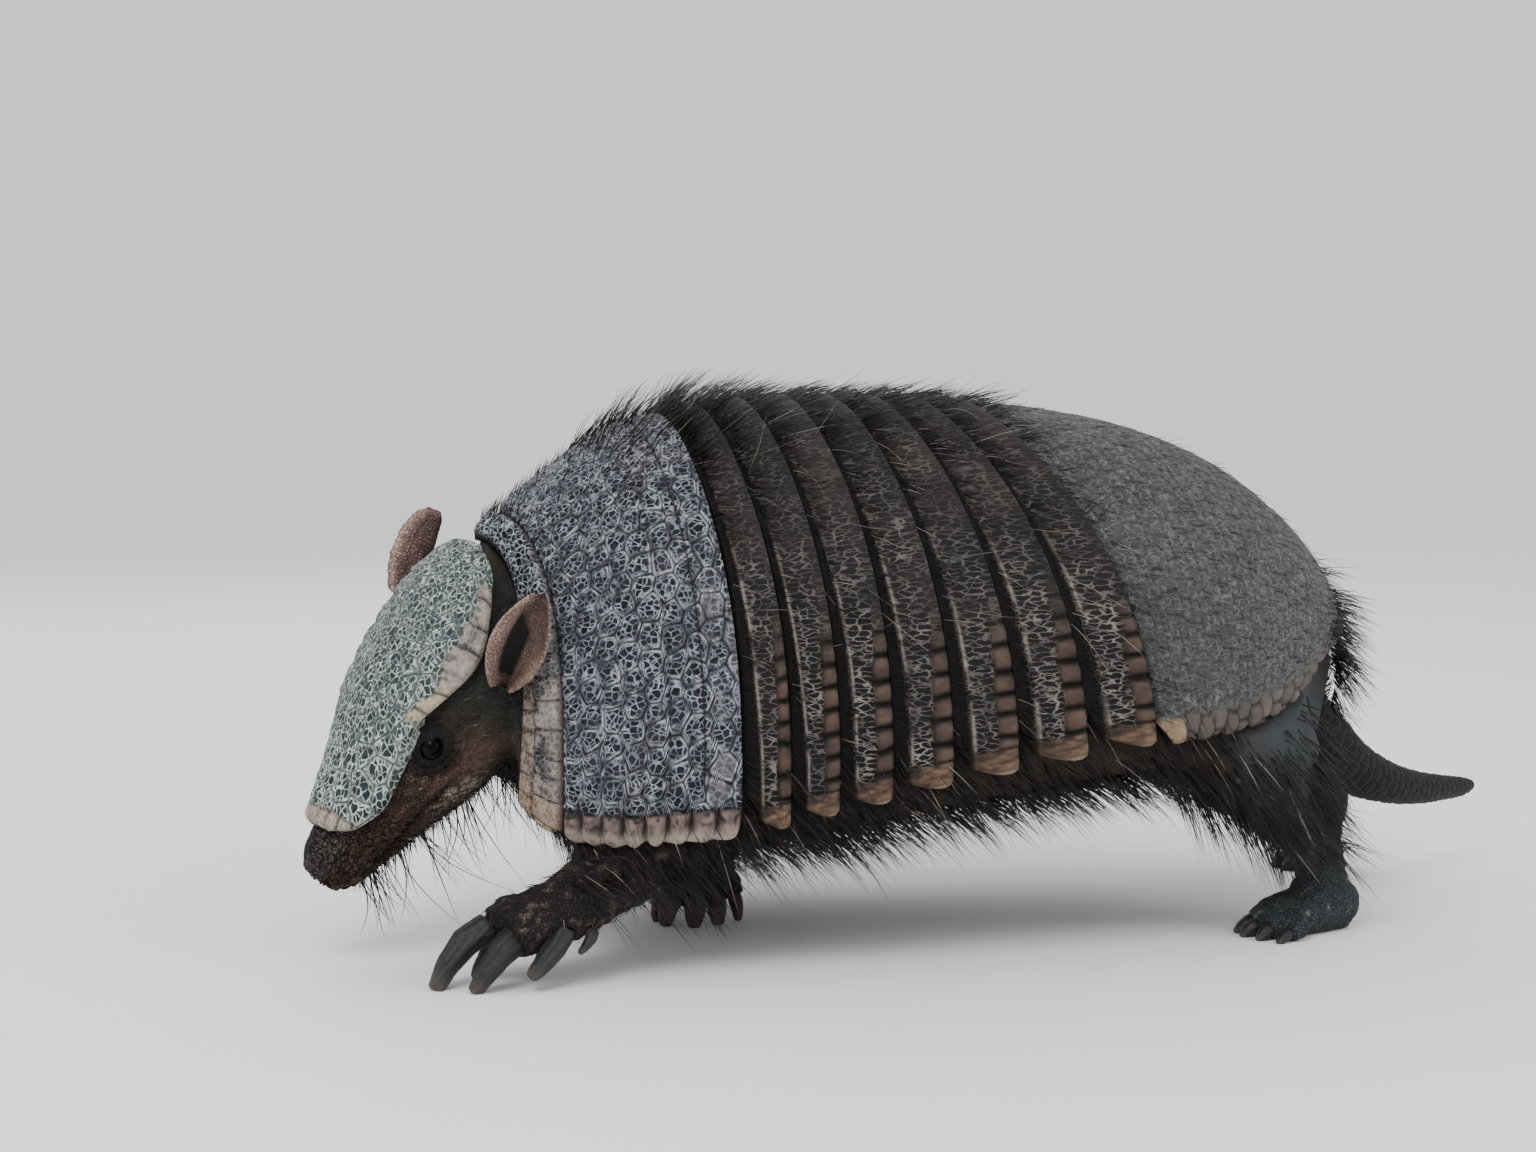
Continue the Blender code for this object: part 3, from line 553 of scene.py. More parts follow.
def plateSheet(front, rear, look, notches, level=0.0):
    # the bare outer sheet of one plate: places along, even steps round the arch, cut back at both lower
    # edges by the notches; with it come, for each point, the share and the millimetres from the front, the
    # millimetres round from the spine and up from the lower edge, and a place for noise
    along = np.linspace(0, 1, look["rows"])
    places = front + (rear - front) * along
    turns = np.linspace(-math.pi / 2, math.pi / 2, shellSet["turns"])
    steps = np.linalg.norm(np.diff(arch(places[:, None], turns[None, :]), axis=1), axis=-1)
    reach = np.concatenate((np.zeros((look["rows"], 1)), np.cumsum(steps, axis=1)), axis=1) / mm
    length = reach[:, -1:]
    cut = notches(along)[:, None] / length
    part = cut + np.linspace(0, 1, look["columns"])[None, :] * (1 - 2 * cut)
    turn = np.stack([np.interp(p * size, run, turns) for p, size, run in zip(part, length[:, 0], reach)])
    place, f = (np.broadcast_to(v[:, None], turn.shape) for v in (places, along))
    outer = arch(place, turn)
    out = gridNormals(outer)
    out = out * np.sign(np.einsum("ijk,ijk->ij", out, outer - outer.mean(axis=1, keepdims=True)).mean())
    s, t = f * look["length"], (part - 0.5) * length.mean()
    sheet = {"outer": outer, "out": out, "place": place, "turn": turn}
    return sheet, f, s, t, np.minimum(part, 1 - part) * length, xyz(s, t, level)


def makePlate(name, sheet, relief, tint, crest, web, finish, node, slot="shell_horn"):
    # the relief stands on the outer sheet; a rounded rear lip leads to a plain inner face
    outer = sheet["outer"] + times(sheet["out"], relief * mm)
    picks = np.linspace(len(outer) - 1, 0, shellSet["innerRows"]).round().astype(int)
    inner = arch(sheet["place"][picks], sheet["turn"][picks], -shellSet["thick"])
    rearward = unit(sheet["outer"][-1] - sheet["outer"][-4])
    rearLip = (outer[-1] + inner[0]) / 2 + rearward * shellSet["lip"] * mm
    grid = np.concatenate((outer, rearLip[None], inner, (outer[:1] + inner[-1:]) / 2))
    plain = np.zeros((len(picks) + 2, outer.shape[1]))
    tint = np.concatenate((tint, plain[..., None] + shellSet["inside"]))
    extra = {"crest": np.concatenate((crest, plain)), "web": np.concatenate((web, plain))}
    rideOn(closedLoft(name, grid, finishes[finish], tint, extra), slot, node)


def lowerRim(edge, depth):
    # how far a plate's lower rim curves in
    return depth * (1 - ease(edge, -0.5, 4.0)) ** 2


# shoulder shield

shoulderSet = {
    "rows": 126, "columns": 700, "length": 73, "rowPitch": 8.8, "colPitch": 8.6, "lobes": 8, "lobeDepth": 7.6,
    # ridge is the pale colour of the painted highlight along the scutes' rims
    "slate": ink(38, 41, 51), "ridge": ink(192, 196, 202), "seam": ink(22, 17, 18), "dust": ink(84, 73, 79),
    "block": ink(140, 136, 140), "lobe": ink(108, 92, 88), "lobeTip": ink(184, 170, 154),
}


def scuteField(s, t, look, seed, jitter=0.42):
    # scutes: a dome over each, a seam along its border and a pale rim inside the seam, each from 0 to 1,
    # its own value, and how far the border is
    near, gap, own = cells(s, t, look["rowPitch"], look["colPitch"], jitter, 0.5, seed)
    dome = 1 - clamp(near / (0.62 * look["colPitch"])) ** 2
    return dome, hump(gap, 0, 0.24), hump(gap, 0.66, 0.30), own, gap


def makeShoulder():
    # domed scutes that melt into fine grain towards the spine, with a painted highlight along their rims,
    # long seams between their rows, lobes below
    look = shoulderSet
    sheet, f, s, t, edge, flat = plateSheet(
        1.0, 3 - shellSet["gap"], look,
        lambda f: look["lobeDepth"] * np.abs(2 * np.mod(f * look["lobes"], 1) - 1) ** 2.6)
    dome, seam, rim, own, gap = scuteField(s + clouds(flat, 17, 5) * 1.6, t + clouds(flat, 15, 6) * 1.6,
                                           look, 3)
    grain = clouds(flat, 2.2, 9)
    high = ease(edge + 14 * cloud(flat, 40, 7), 112, 190)      # 1 towards the spine
    clear = 1 - 0.85 * high
    column = (hump(s, 46, 0.4) * 0.6 + hump(s, 59, 0.5)) * ease(edge, 10, 20)
    body = ease(edge, 10.4, 11.4)
    lobes = 1 - body
    lobePart = np.abs(np.mod(f * look["lobes"], 1) - 0.5)
    lobeDome = (1 - (2 * lobePart) ** 1.7) * ease(edge, 0.2, 4.5)
    lobeSeam = hump(lobePart, 0.5, 0.085) * lobes + 0.8 * hump(edge, 11.2, 0.5)
    relief = body * (clear * (0.60 * dome + 0.34 * rim - 0.75 * seam) + 0.22 * grain - 0.8 * clamp(column)
                     - 0.9 * hump(s, look["length"], 5) * high)
    relief += lobes * (1.9 * lobeDome + 0.22 * grain) - 1.2 * clamp(lobeSeam) - lowerRim(edge, 2.6)
    relief += shellSet["step"] * f**6 * 0.9 - 1.3 * (1 - ease(f, 0, 0.03))
    rear = ease(f, 0.80, 0.84) * (1 - ease(edge, 70, 110))        # a row of paler blocks along the rear edge
    # pale: the rims inside the seams painted light, a painted highlight where the raised rims catch the light
    pale = hump(gap, 0.62, 0.28) * (0.14 + 0.72 * ease(cloud(flat, 2.6, 16), -0.3, 0.5)) * clear * body
    lobeTint = layered(times(look["lobe"], 0.7 + 0.6 * ease(grain, -0.5, 0.5)),
                       (look["lobeTip"], (1 - ease(edge, 0.5, 6.5)) * 0.9))
    lobeTint = layered(times(lobeTint, 0.92 + 0.2 * cloud(flat, 1.8, 19)),
                       (look["seam"], ease(cloud(flat, 1.5, 18), 0.3, 0.6) * ease(edge, 4.5, 7.5) * 0.8))
    # the ridge layer below paints that highlight onto the rims
    tint = layered(
        times(look["slate"], (0.85 + 0.3 * clouds(flat, 42, 14)) * (0.9 + 0.2 * own)),
        (look["dust"], ease(clouds(flat, 16, 15), 0.1, 0.7) * (0.25 + 0.5 * high)),
        (look["ridge"], pale), (look["block"], rear * 0.3 * ease(own, 0.3, 0.7) * ease(gap, 0.5, 1.0)),
        (lobeTint, lobes), (look["seam"], clamp(body * 0.8 * (seam * clear + column) + lobeSeam, 0, 0.92)))
    thick = 0.38 + 0.3 * ease(cloud(flat, 7, 17), -0.5, 0.4)
    web = clamp(body * (ease(gap, 0.7, 1.2) * clear * thick + 0.85 * (1 - clear)))
    web = web * (1 - 0.4 * rear * (own > 0.55)) * (1 - clamp(column + lobeSeam))
    makePlate("shoulderShield", sheet, relief, tint, clamp(pale + lobes * 0.5 + 0.2), web, "shoulder",
              "shoulder_shield")


# neck band

neckSet = {
    "rows": 26, "columns": 460, "length": 12.5, "pitch": 8.4, "split": 4.4, "pale": ink(158, 146, 138),
    "grey": ink(52, 58, 66), "rim": ink(172, 176, 180), "pit": ink(30, 28, 30), "tan": ink(158, 128, 94),
    "seam": ink(44, 27, 25), "front": ink(126, 106, 78),
}


def makeNeckBand():
    # two rows of blocks with a long seam between, pale and smooth low down, and a groove at the rear
    look = neckSet
    sheet, f, s, t, edge, flat = plateSheet(0.0, 1 - shellSet["gap"], look,
                                            lambda f: 5.5 * np.abs(f * 1.25 - 0.55) ** 1.4)
    grain = clouds(flat, 2.3, 36)
    front = s < look["split"]
    split = hump(s, look["split"] + 0.4 * cloud(flat, 9, 30), 0.4)
    block = np.mod(t / look["pitch"] + 0.35 * front + 0.34 * cloud(flat, 11, 31), 1)
    side = np.minimum(block, 1 - block) * look["pitch"]
    seam = hump(side, 0, 0.3)
    rim = hump(np.minimum(side, np.minimum(np.abs(s - look["split"]), 12 - s)), 0.8, 0.4)
    low = 1 - ease(edge, 44, 84)
    groove = ease(s, 11.2, 12.2)
    spots = ease(cloud(flat, 2.0, 37) + 0.4 * cloud(flat, 9, 39), 0.15, 0.4) * ease(13 - s, 0, 6)
    pale = layered(times(look["pale"], 0.72 + 0.4 * clouds(flat, 5, 38)), (look["pit"], spots * 0.85))
    tint = layered(times(look["grey"], 0.85 + 0.3 * clouds(flat, 20, 34)), (look["rim"], rim * 0.6),
                   (pale, low * 0.95), (times(look["tan"], 0.8 + 0.3 * grain), (1 - ease(edge, 4, 20)) * 0.6),
                   (look["front"], front * low * 0.4),
                   (look["seam"], clamp(seam * 0.9 + split + groove, 0, 0.95)))
    relief = (1 - (2 * np.abs(block - 0.5)) ** 3) * (1 - np.abs(2 * f - 1) ** 4) + 0.2 * grain
    relief -= 0.9 * seam + 1.0 * split + 2.4 * groove + lowerRim(edge, 1.6)
    makePlate("neckBand", sheet, relief, tint, clamp(low * 0.5 + rim * 0.5), (1 - 0.75 * low) * (1 - groove),
              "shoulder", "neck_band")


# the moving bands

bandSet = {
    "count": 7, "rows": 34, "columns": 660, "length": 16.5, "pitch": 8.0, "level": 40,
    "dark": ink(20, 17, 17), "worn": ink(52, 43, 40), "pit": ink(9, 8, 8), "line": ink(150, 142, 136),
    "fold": ink(20, 15, 14), "block": ink(74, 59, 51), "tip": ink(122, 98, 77), "tipDark": ink(56, 42, 35),
    "tipRim": ink(168, 146, 118),
}


def makeBand(index):
    # a fold of hide in front, then the plate: streaked over its front half, rounded lumps along its rear
    # half, and a tan scute at each lower end
    look = bandSet
    place = 3 + index
    uneven = 0.4 + 1.5 * (scramble(np.array(index), seed=49) - 0.5)
    sheet, f, s, t, edge, flat = plateSheet(
        place + shellSet["gap"], place + 1 - shellSet["gap"], look,
        lambda f: (10.5 * clamp(0.82 - f) ** 1.3 + 30 * clamp(f - 0.9) ** 1.1 + 7 * clamp(0.2 - f) / 0.2
                   + uneven),
        index * look["level"])
    grain = clouds(flat, 2.0, 53)
    down = ease(np.abs(t) + 10 * cloud(flat, 30, 49), 70, 190)      # 0 at the spine, 1 near the lower edge
    fold = 0.09 + 0.19 * down + 0.02 * cloud(flat, 30, 51)
    skinFold = 1 - ease(f, fold - 0.035, fold + 0.03)
    horny = 1 - skinFold
    g = clamp((f - fold) / (1 - fold))      # across the plate itself
    split = 0.50 + 0.22 * (1 - ease(down, 0.3, 0.9))
    front = 1 - ease(g + 0.05 * cloud(flat, 6, 56), split, split + 0.07)
    number = np.mod((t + clouds(flat, 12, 50) * 1.3) / look["pitch"] + 0.2 * cloud(flat, 13, 52)
                    + 0.05 * cloud(flat, 4, 66), 1)
    seam = hump(np.minimum(number, 1 - number) * look["pitch"], 0, 0.7)
    dome = 1 - (2 * np.abs(number - 0.5)) ** 1.9
    swell = clamp(np.sin(clamp((g - split) / (1 - split)) * math.pi)) ** 0.6
    lumps = (1 - front) * horny * ease(down, 0.40, 0.72)
    lip = hump(g, 0.05, 0.035) * horny * ease(down, 0.05, 0.4) * ease(cloud(flat, 8, 61), -0.55, 0.25)
    horn = 1 - ease(edge, 8.5, 10.5)
    plate = horn * horny
    hornDome = np.sin(clamp((f - 0.1) / 0.9) * math.pi) ** 0.7 * ease(edge, 0.1, 4.5)
    relief = horny * (0.2 * grain + 0.35 * lip) + lumps * 2.0 * dome * swell
    relief -= (1 - horn) * (lumps * 1.1 * seam + 0.6 * hump(g, split + 0.02, 0.04) * (0.15 + lumps))
    relief -= skinFold * (1.4 + 1.6 * down - 0.35 * grain)
    relief = relief * (1 - plate) + plate * (1.9 * hornDome - 0.6 + 0.25 * grain)
    relief -= 1.1 * hump(edge, 9.6, 0.55) * horny + lowerRim(edge, 2.2)
    relief += shellSet["dip"] * (1 - f) + shellSet["step"] * ease(f, 0.2, 0.95) - 2.0 * ease(f, 0.975, 1.0)
    rounded = clamp(dome * swell * 1.5)
    brown = times(look["block"],
                  0.5 + 0.5 * clouds(flat, 5, 60) + 0.5 * rounded + 0.35 * clouds(flat, 1.5, 67))
    streak = 0.5 + 0.5 * cloud(xyz(s * 0.8, edge * 2.4, 0), 1.8, 63)
    hornTint = layered(look["tipDark"], (look["tip"], 1.2 * streak - 0.3 + 0.4 * ease(f, 0.4, 0.95)
                                         - 0.3 * ease(edge, 3, 9) + 0.4 * grain))
    hornTint = layered(times(hornTint, 0.8 + 0.4 * clouds(flat, 1.5, 68)),
                       (look["tipRim"], hump(edge, 0.6, 1.0) * ease(f, 0.3, 0.8) * 0.7))
    tint = layered(
        times(look["dark"], 0.85 + 0.45 * clouds(flat, 26, 59)),
        (look["worn"], (1 - down) * 0.5 * ease(clouds(flat, 22, 58), -0.4, 0.6)),
        (brown, lumps * rounded * clamp(0.5 + 0.6 * clouds(flat, 9, 64) + 0.5 * down, 0, 0.95)),
        (look["line"], 0.7 * lip), (look["pit"], lumps * (seam * 0.7 + hump(g, split + 0.02, 0.03) * 0.3)),
        (times(look["fold"], 0.7 + 0.5 * grain), skinFold), (hornTint, plate * 0.95),
        (look["pit"], hump(edge, 9.8, 0.7) * 0.8 + 0.4 * plate * (1 - ease(f, 0.12, 0.4))))
    web = horny * (1 - plate) * (front + (1 - front) * (1 - lumps) * 0.5)
    web = clamp(web * (0.25 + 0.55 * down) * (1 - 0.6 * lip) * (0.7 + 0.7 * clouds(flat, 8, 65)))
    crest = clamp(0.3 + lumps * 0.3 + plate * 0.5) * horny
    makePlate(f"band{index + 1}", sheet, relief, tint, crest, web, "band", f"band_{index + 1}", "band_horn")


# hip shield

hipSet = {
    "rows": 150, "columns": 510, "length": 146, "rowPitch": 8.2, "colPitch": 6.6, "lobes": 8, "level": 400,
    "base": ink(62, 64, 64), "ridge": ink(116, 117, 115), "seam": ink(20, 18, 18),
    "lump": ink(92, 80, 73), "tip": ink(150, 124, 96),
}


def makeHip():
    # low scutes over the whole, and a row of rounded lumps along the lower and rear edges
    look = hipSet
    sheet, f, s, t, edge, flat = plateSheet(
        10 + shellSet["gap"], 16.0, look,
        lambda f: 2.6 * np.abs(2 * np.mod(f * look["lobes"], 1) - 1) ** 2.2 + 6 * clamp(0.06 - f) / 0.06,
        look["level"])
    wobble = clouds(flat, 20, 70) * 1.4
    dome, seam, rim, own, gap = scuteField(s + wobble, t + clouds(flat, 16, 71) * 1.7, look, 72, 0.3)
    grain, tone = clouds(flat, 2.0, 79), clouds(flat, 50, 80)
    rowSeam = hump(np.mod((s + wobble) / look["rowPitch"], 1), 0.5, 0.06) * (1 - ease(f, 0.5, 0.9))
    lumps = clamp(ease(f, 0.90, 0.93) + (1 - ease(edge, 9, 12)) * ease(f, 0.03, 0.1))
    plain = 1 - lumps
    lumpNear, lumpGap, lumpOwn = cells(s * 1.05, t, 8.5, 8.2, 0.3, 0.5, 78)
    lumpSeam = hump(lumpGap, 0, 0.5)
    relief = plain * (0.42 * dome + 0.14 * rim - 0.45 * seam - 0.35 * rowSeam + 0.14 * grain)
    relief += lumps * (1.6 * (1 - clamp(lumpNear / 5.2) ** 2) - 0.8 * lumpSeam + 0.2 * grain)
    relief -= lowerRim(edge, 2.2) + 1.5 * (1 - ease(f, 0.0, 0.02)) + 1.6 * ease(f, 0.985, 1)
    lump = times(look["lump"], (0.72 + 0.5 * clouds(flat, 5, 81)) * (0.85 + 0.3 * lumpOwn))
    tint = layered(
        times(look["base"], (0.9 + 0.35 * tone) * (0.88 + 0.24 * own) * (1.12 - 0.3 * ease(edge, 60, 170))),
        (look["ridge"], rim * 0.16 * ease(cloud(flat, 12, 82), -0.4, 0.6) * plain),
        (look["seam"], clamp(seam * 0.75 + rowSeam * 0.6, 0, 0.8) * plain),
        (layered(lump, (look["seam"], lumpSeam * 0.85)), lumps * 0.85),
        (times(look["tip"], 0.8 + 0.3 * grain), (1 - ease(edge, 8, 10)) * (1 - ease(f, 0.09, 0.11))))
    web = plain * (0.35 + 0.3 * ease(gap, 0.5, 1.0)) * (0.72 + 0.25 * tone + 0.35 * clouds(flat, 9, 83))
    makePlate("hipShield", sheet, relief, tint, clamp(0.3 + lumps * 0.3), web, "hip", "hip_shield")


# head shield

browSet = {
    "rows": 270, "columns": 170, "inner": 14, "thick": 2.8, "lift": 0.9, "tail": 0.89, "head": -0.03,
    "tries": 5200, "base": ink(54, 68, 68), "ridge": ink(196, 202, 198), "seam": ink(26, 29, 29),
    "rear": ink(150, 136, 128), "tan": ink(182, 166, 138), "pink": ink(164, 142, 132),
    "drab": ink(140, 138, 122), "inside": ink(30, 26, 24),
}
# along the head, and how far round the shield reaches there, in degrees
browReach = through((
    (-0.03, 10), (0.02, 29), (0.09, 41), (0.17, 50), (0.28, 58), (0.45, 52), (0.53, 48), (0.62, 53),
    (0.70, 63), (0.76, 67), (0.82, 60), (0.87, 42), (0.89, 22),
))


def scatterSeeds(low, high, tries, seed):
    # scute middles no nearer to each other than the spacing at their place
    chance = np.random.default_rng(seed)
    kept = []
    for x, y in chance.uniform(low, high, (tries, 2)):
        spacing = 3.6 if y < 14 else 4.4 + 2.2 * (y > 74) + 1.2 * (abs(x) > 20)
        if not kept or np.min(np.hypot(*(np.array(kept) - (x, y)).T)) > spacing:
            kept.append((x, y))
    return np.array(kept)


def nearestTwo(points, seeds):
    # distance to the nearest two seeds, and which one is nearest, for many points at once
    far = (points**2).sum(axis=1)[:, None] - 2 * points @ seeds.T + (seeds**2).sum(axis=1)[None]
    which = far.argmin(axis=1)
    near = np.sqrt(np.maximum(far[np.arange(len(far)), which], 0))
    far[np.arange(len(far)), which] = np.inf
    return near, np.sqrt(np.maximum(far.min(axis=1), 0)), which


def makeBrow():
    # scattered scutes with sunk seams; smooth blocks at the rear corners, over the eyes and at the front
    look = browSet
    along = np.linspace(look["head"], look["tail"], look["rows"])
    angle = browReach(along) * np.linspace(-1, 1, look["columns"])
    a = np.broadcast_to(along[:, None], angle.shape)
    sheet = onHead(a, angle, look["lift"] + look["thick"])
    out = gridNormals(sheet)
    out = out * np.sign((out @ upward).mean())
    x = np.cumsum(np.linalg.norm(np.diff(sheet, axis=1, prepend=sheet[:, :1]), axis=-1), axis=1) / mm
    x = x - x[:, look["columns"] // 2][:, None]                      # millimetres across, from the middle
    y = a * headSet["length"]                                        # and along
    side = np.abs(x[:, [0, -1]]).max(axis=1)[:, None] - np.abs(x)    # distance from the side edge
    tip = (look["tail"] - a) * headSet["length"]                     # and from the front edge
    rim = np.minimum(side, np.minimum((a - look["head"]) * headSet["length"], tip) + 0.01)
    flat = xyz(x, y, 0)
    seeds = scatterSeeds((-44, -6), (44, 112), look["tries"], 90)
    bent = flat[..., :2] + np.stack((cloud(flat, 6, 91), cloud(flat, 6, 92)), axis=-1) * 0.8
    near, second, which = (v.reshape(x.shape) for v in nearestTwo(bent.reshape(-1, 2), seeds))
    gap, own = (second - near) / 2, scramble(which, seed=93)
    # smooth blocks: large ones at the rear corners, tan ones over the eyes, small pink ones at the front
    wide = 5.5 + 5 * ease(y, 14, 34) - 4.6 * ease(y, 42, 50) + 1.3 * cloud(flat, 6, 90)
    edgeRow = 1 - ease(side - wide + 0.8 * cloud(flat, 1.6, 86), -1.2, 1.2)
    edgeRow = edgeRow * ease(y, 9, 13) * (1 - ease(y, 62, 66))
    frontRow = 1 - ease(tip, 5.8, 7.0)
    blocks = np.maximum(edgeRow, frontRow)
    plain = 1 - blocks
    sideNumber = (y + 2 * cloud(flat, 9, 88)) / (9.8 - 2 * (y > 44)) + 0.4
    part = np.abs(np.mod(np.where(frontRow > 0.5, x / 5.6, sideNumber), 1) - 0.5)
    blockDome = 1 - (2 * part) ** 2.6
    border = np.where(frontRow > 0.3, np.abs(tip - 5.8), np.abs(side - wide) + 9 * (y > 64) + 9 * (y < 10))
    blockSeam = clamp(hump(part, 0.5, 0.05) * blocks + (0.2 + 0.5 * frontRow) * hump(border, 0, 0.4))
    deep = ease(y, 74, 86)                                           # deeper pits on the snout
    seam, ridge = hump(gap, 0, 0.18) * plain * (0.35 + 0.65 * deep), hump(gap, 0.55, 0.3) * plain
    relief = 0.45 * (1 - clamp(near / 4) ** 2) * plain + 0.2 * ridge - 0.42 * seam - 0.75 * blockSeam
    relief += blocks * ((1.1 - 0.5 * frontRow) * blockDome + 0.15 * cloud(flat, 1.4, 95))
    relief += 0.15 * clouds(flat, 2.4, 98) + 0.5 * hump(np.abs(x), 0, 7) * (1 - ease(y, 60, 80))
    relief -= 1.9 * (1 - ease(rim, -0.4, 2.4)) ** 2
    pinkish = layered(look["pink"], (look["drab"], ease(cloud(flat, 9, 87), -0.4, 0.3)))
    blockTint = layered(look["rear"], (look["tan"], ease(y, 46, 54)), (pinkish, ease(y, 84, 98)))
    spots = ease(cloud(flat, 1.5, 85), 0.1, 0.5) * ease(side, 2.0, 5.0) * (1 - frontRow)
    blockTint = layered(times(blockTint, 0.72 + 0.32 * clouds(flat, 2.4, 97) + 0.3 * blockDome),
                        (look["base"] * 0.8, spots * 0.7))
    tint = layered(times(look["base"], 0.78 + 0.3 * own + 0.25 * clouds(flat, 24, 96)),
                   (look["ridge"], ridge * clamp(0.3 + 0.4 * deep + 0.35 * cloud(flat, 5, 89))),
                   (blockTint, blocks * 0.86), (look["seam"], clamp(seam * 0.5 + blockSeam * 0.85, 0, 0.88)))
    web = (1 - 0.75 * edgeRow - 0.7 * frontRow) * ease(gap, 0.1, 0.5) * (0.75 + 0.25 * deep)
    outer = sheet + times(out, relief * mm)
    picks = np.linspace(look["rows"] - 1, 0, look["inner"]).round().astype(int)
    inner = onHead(a[picks], angle[picks] * 0.985, look["lift"])
    grid = np.concatenate((outer, (outer[-1:] + inner[:1]) / 2, inner, (outer[:1] + inner[-1:]) / 2))
    bare = np.zeros((look["inner"] + 2, look["columns"]))
    extra = {"crest": np.concatenate((clamp(ridge + blocks * 0.6), bare)), "web": np.concatenate((web, bare))}
    tint = np.concatenate((tint, bare[..., None] + look["inside"]))
    rideOn(closedLoft("headShield", grid, finishes["brow"], tint, extra), "shell_horn", "head_shield")


# the skin: one surface in place of the trunk, neck, head and legs

legNames = ("fore_left", "fore_right", "hind_left", "hind_right")
skinSet = {
    "voxel": 1.15, "grow": 0.8, "triangles": 122000, "eyeZone": 15, "innerZone": 0.72, "passes": 46,
    "toeNear": 4, "toeFar": 12,
    "nodes": ("trunk", "neck", "head", "snout", "lower_jaw",
              *(f"{leg}_{part}" for leg in legNames for part in ("upper", "lower", "foot"))),
    "dark": ink(44, 38, 34), "face": ink(48, 42, 37), "muzzle": ink(84, 60, 52), "grey": ink(90, 84, 81),
    "cheek": ink(116, 90, 80), "lid": ink(24, 22, 21), "speck": ink(176, 160, 142), "green": ink(42, 46, 42),
    "neck": ink(120, 92, 82), "fore": ink(44, 38, 38), "hind": ink(74, 80, 84), "belly": ink(58, 50, 44),
    "grizzle": ink(128, 112, 104), "dust": ink(150, 152, 148), "lips": ink(190, 172, 130),
}


def pointNormals(points, faces):
    # at each point the mean direction of the triangles round it, the large ones counting for more
    a, b, c = points[faces.T]
    each = np.repeat(np.cross(b - a, c - a), 3, axis=0)
    return unit(np.stack([np.bincount(faces.ravel(), each[:, k], len(points)) for k in range(3)], axis=1))


def readMesh(mesh):
    # a mesh's points and triangles as arrays
    mesh.calc_loop_triangles()
    points, faces = np.empty(len(mesh.vertices) * 3), np.empty(len(mesh.loop_triangles) * 3, np.int32)
    mesh.vertices.foreach_get("co", points)
    mesh.loop_triangles.foreach_get("vertices", faces)
    return points.reshape(-1, 3), faces.reshape(-1, 3)


def solidOf(node, grow):
    # a CAD solid's points and triangles, its doubles merged, grown outwards
    points, faces = readMesh(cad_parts[node].data)
    _, first, back = np.unique(np.round(points * 1e6).astype(np.int64), axis=0, return_index=True,
                               return_inverse=True)
    points, faces = points[first], back.reshape(-1)[faces]
    faces = faces[(faces != np.roll(faces, -1, axis=1)).all(axis=1)]
    return points + pointNormals(points, faces) * grow * mm, faces


def changed(points, faces, kind, settings, weights=None):
    # the same surface after one modifier; weights go into a vertex group that the modifier may name
    rough = newPiece("rough", points, [], faces)
    if weights is not None:
        group = rough.vertex_groups.new(name="weight")
        for level in range(5):
            group.add(np.flatnonzero(np.round(weights * 4) == level).tolist(), level / 4, "REPLACE")
    modifier = rough.modifiers.new("change", kind)
    for key, value in settings.items():
        setattr(modifier, key, value)
    made = rough.evaluated_get(bpy.context.evaluated_depsgraph_get())
    result = readMesh(made.to_mesh())
    made.to_mesh_clear()
    mesh = rough.data
    bpy.data.objects.remove(rough)
    bpy.data.meshes.remove(mesh)
    return result


def joined(parts):
    # several surfaces' points and triangles as one
    offsets = np.cumsum([0] + [len(points) for points, _ in parts])
    return (np.concatenate([points for points, _ in parts]),
            np.concatenate([faces + offset for (_, faces), offset in zip(parts, offsets)]))


def unionOf(solids, voxel):
    # closed solids made one surface by voxels, keeping only its largest shell
    points, faces = changed(*joined(solids), "REMESH", {"mode": "VOXEL", "voxel_size": voxel * mm})
    label = np.arange(len(points))
    while True:
        low = np.repeat(label[faces].min(axis=1), 3)
        new = label.copy()
        np.minimum.at(new, faces.ravel(), low)
        np.minimum.at(new, label[faces].ravel(), low)
        new = new[new]
        if (new == label).all():
            break
        label = new
    kept = faces[label[faces[:, 0]] == np.bincount(label).argmax()]
    used, back = np.unique(kept, return_inverse=True)
    return points[used], back.reshape(-1, 3)


def smoothed(points, faces, passes, weight):
    # each pass moves a point part of the way to the mean of its neighbours
    pairs = np.sort(np.concatenate((faces[:, :2], faces[:, 1:], faces[:, [2, 0]])), axis=1)
    a, b = np.unique(pairs, axis=0).T
    count = np.bincount(np.concatenate((a, b)), minlength=len(points))[:, None]
    for _ in range(passes):
        total = [np.bincount(a, points[b, k], len(points)) + np.bincount(b, points[a, k], len(points))
                 for k in range(3)]
        points = points + (np.stack(total, axis=1) / count - points) * weight[:, None]
    return points


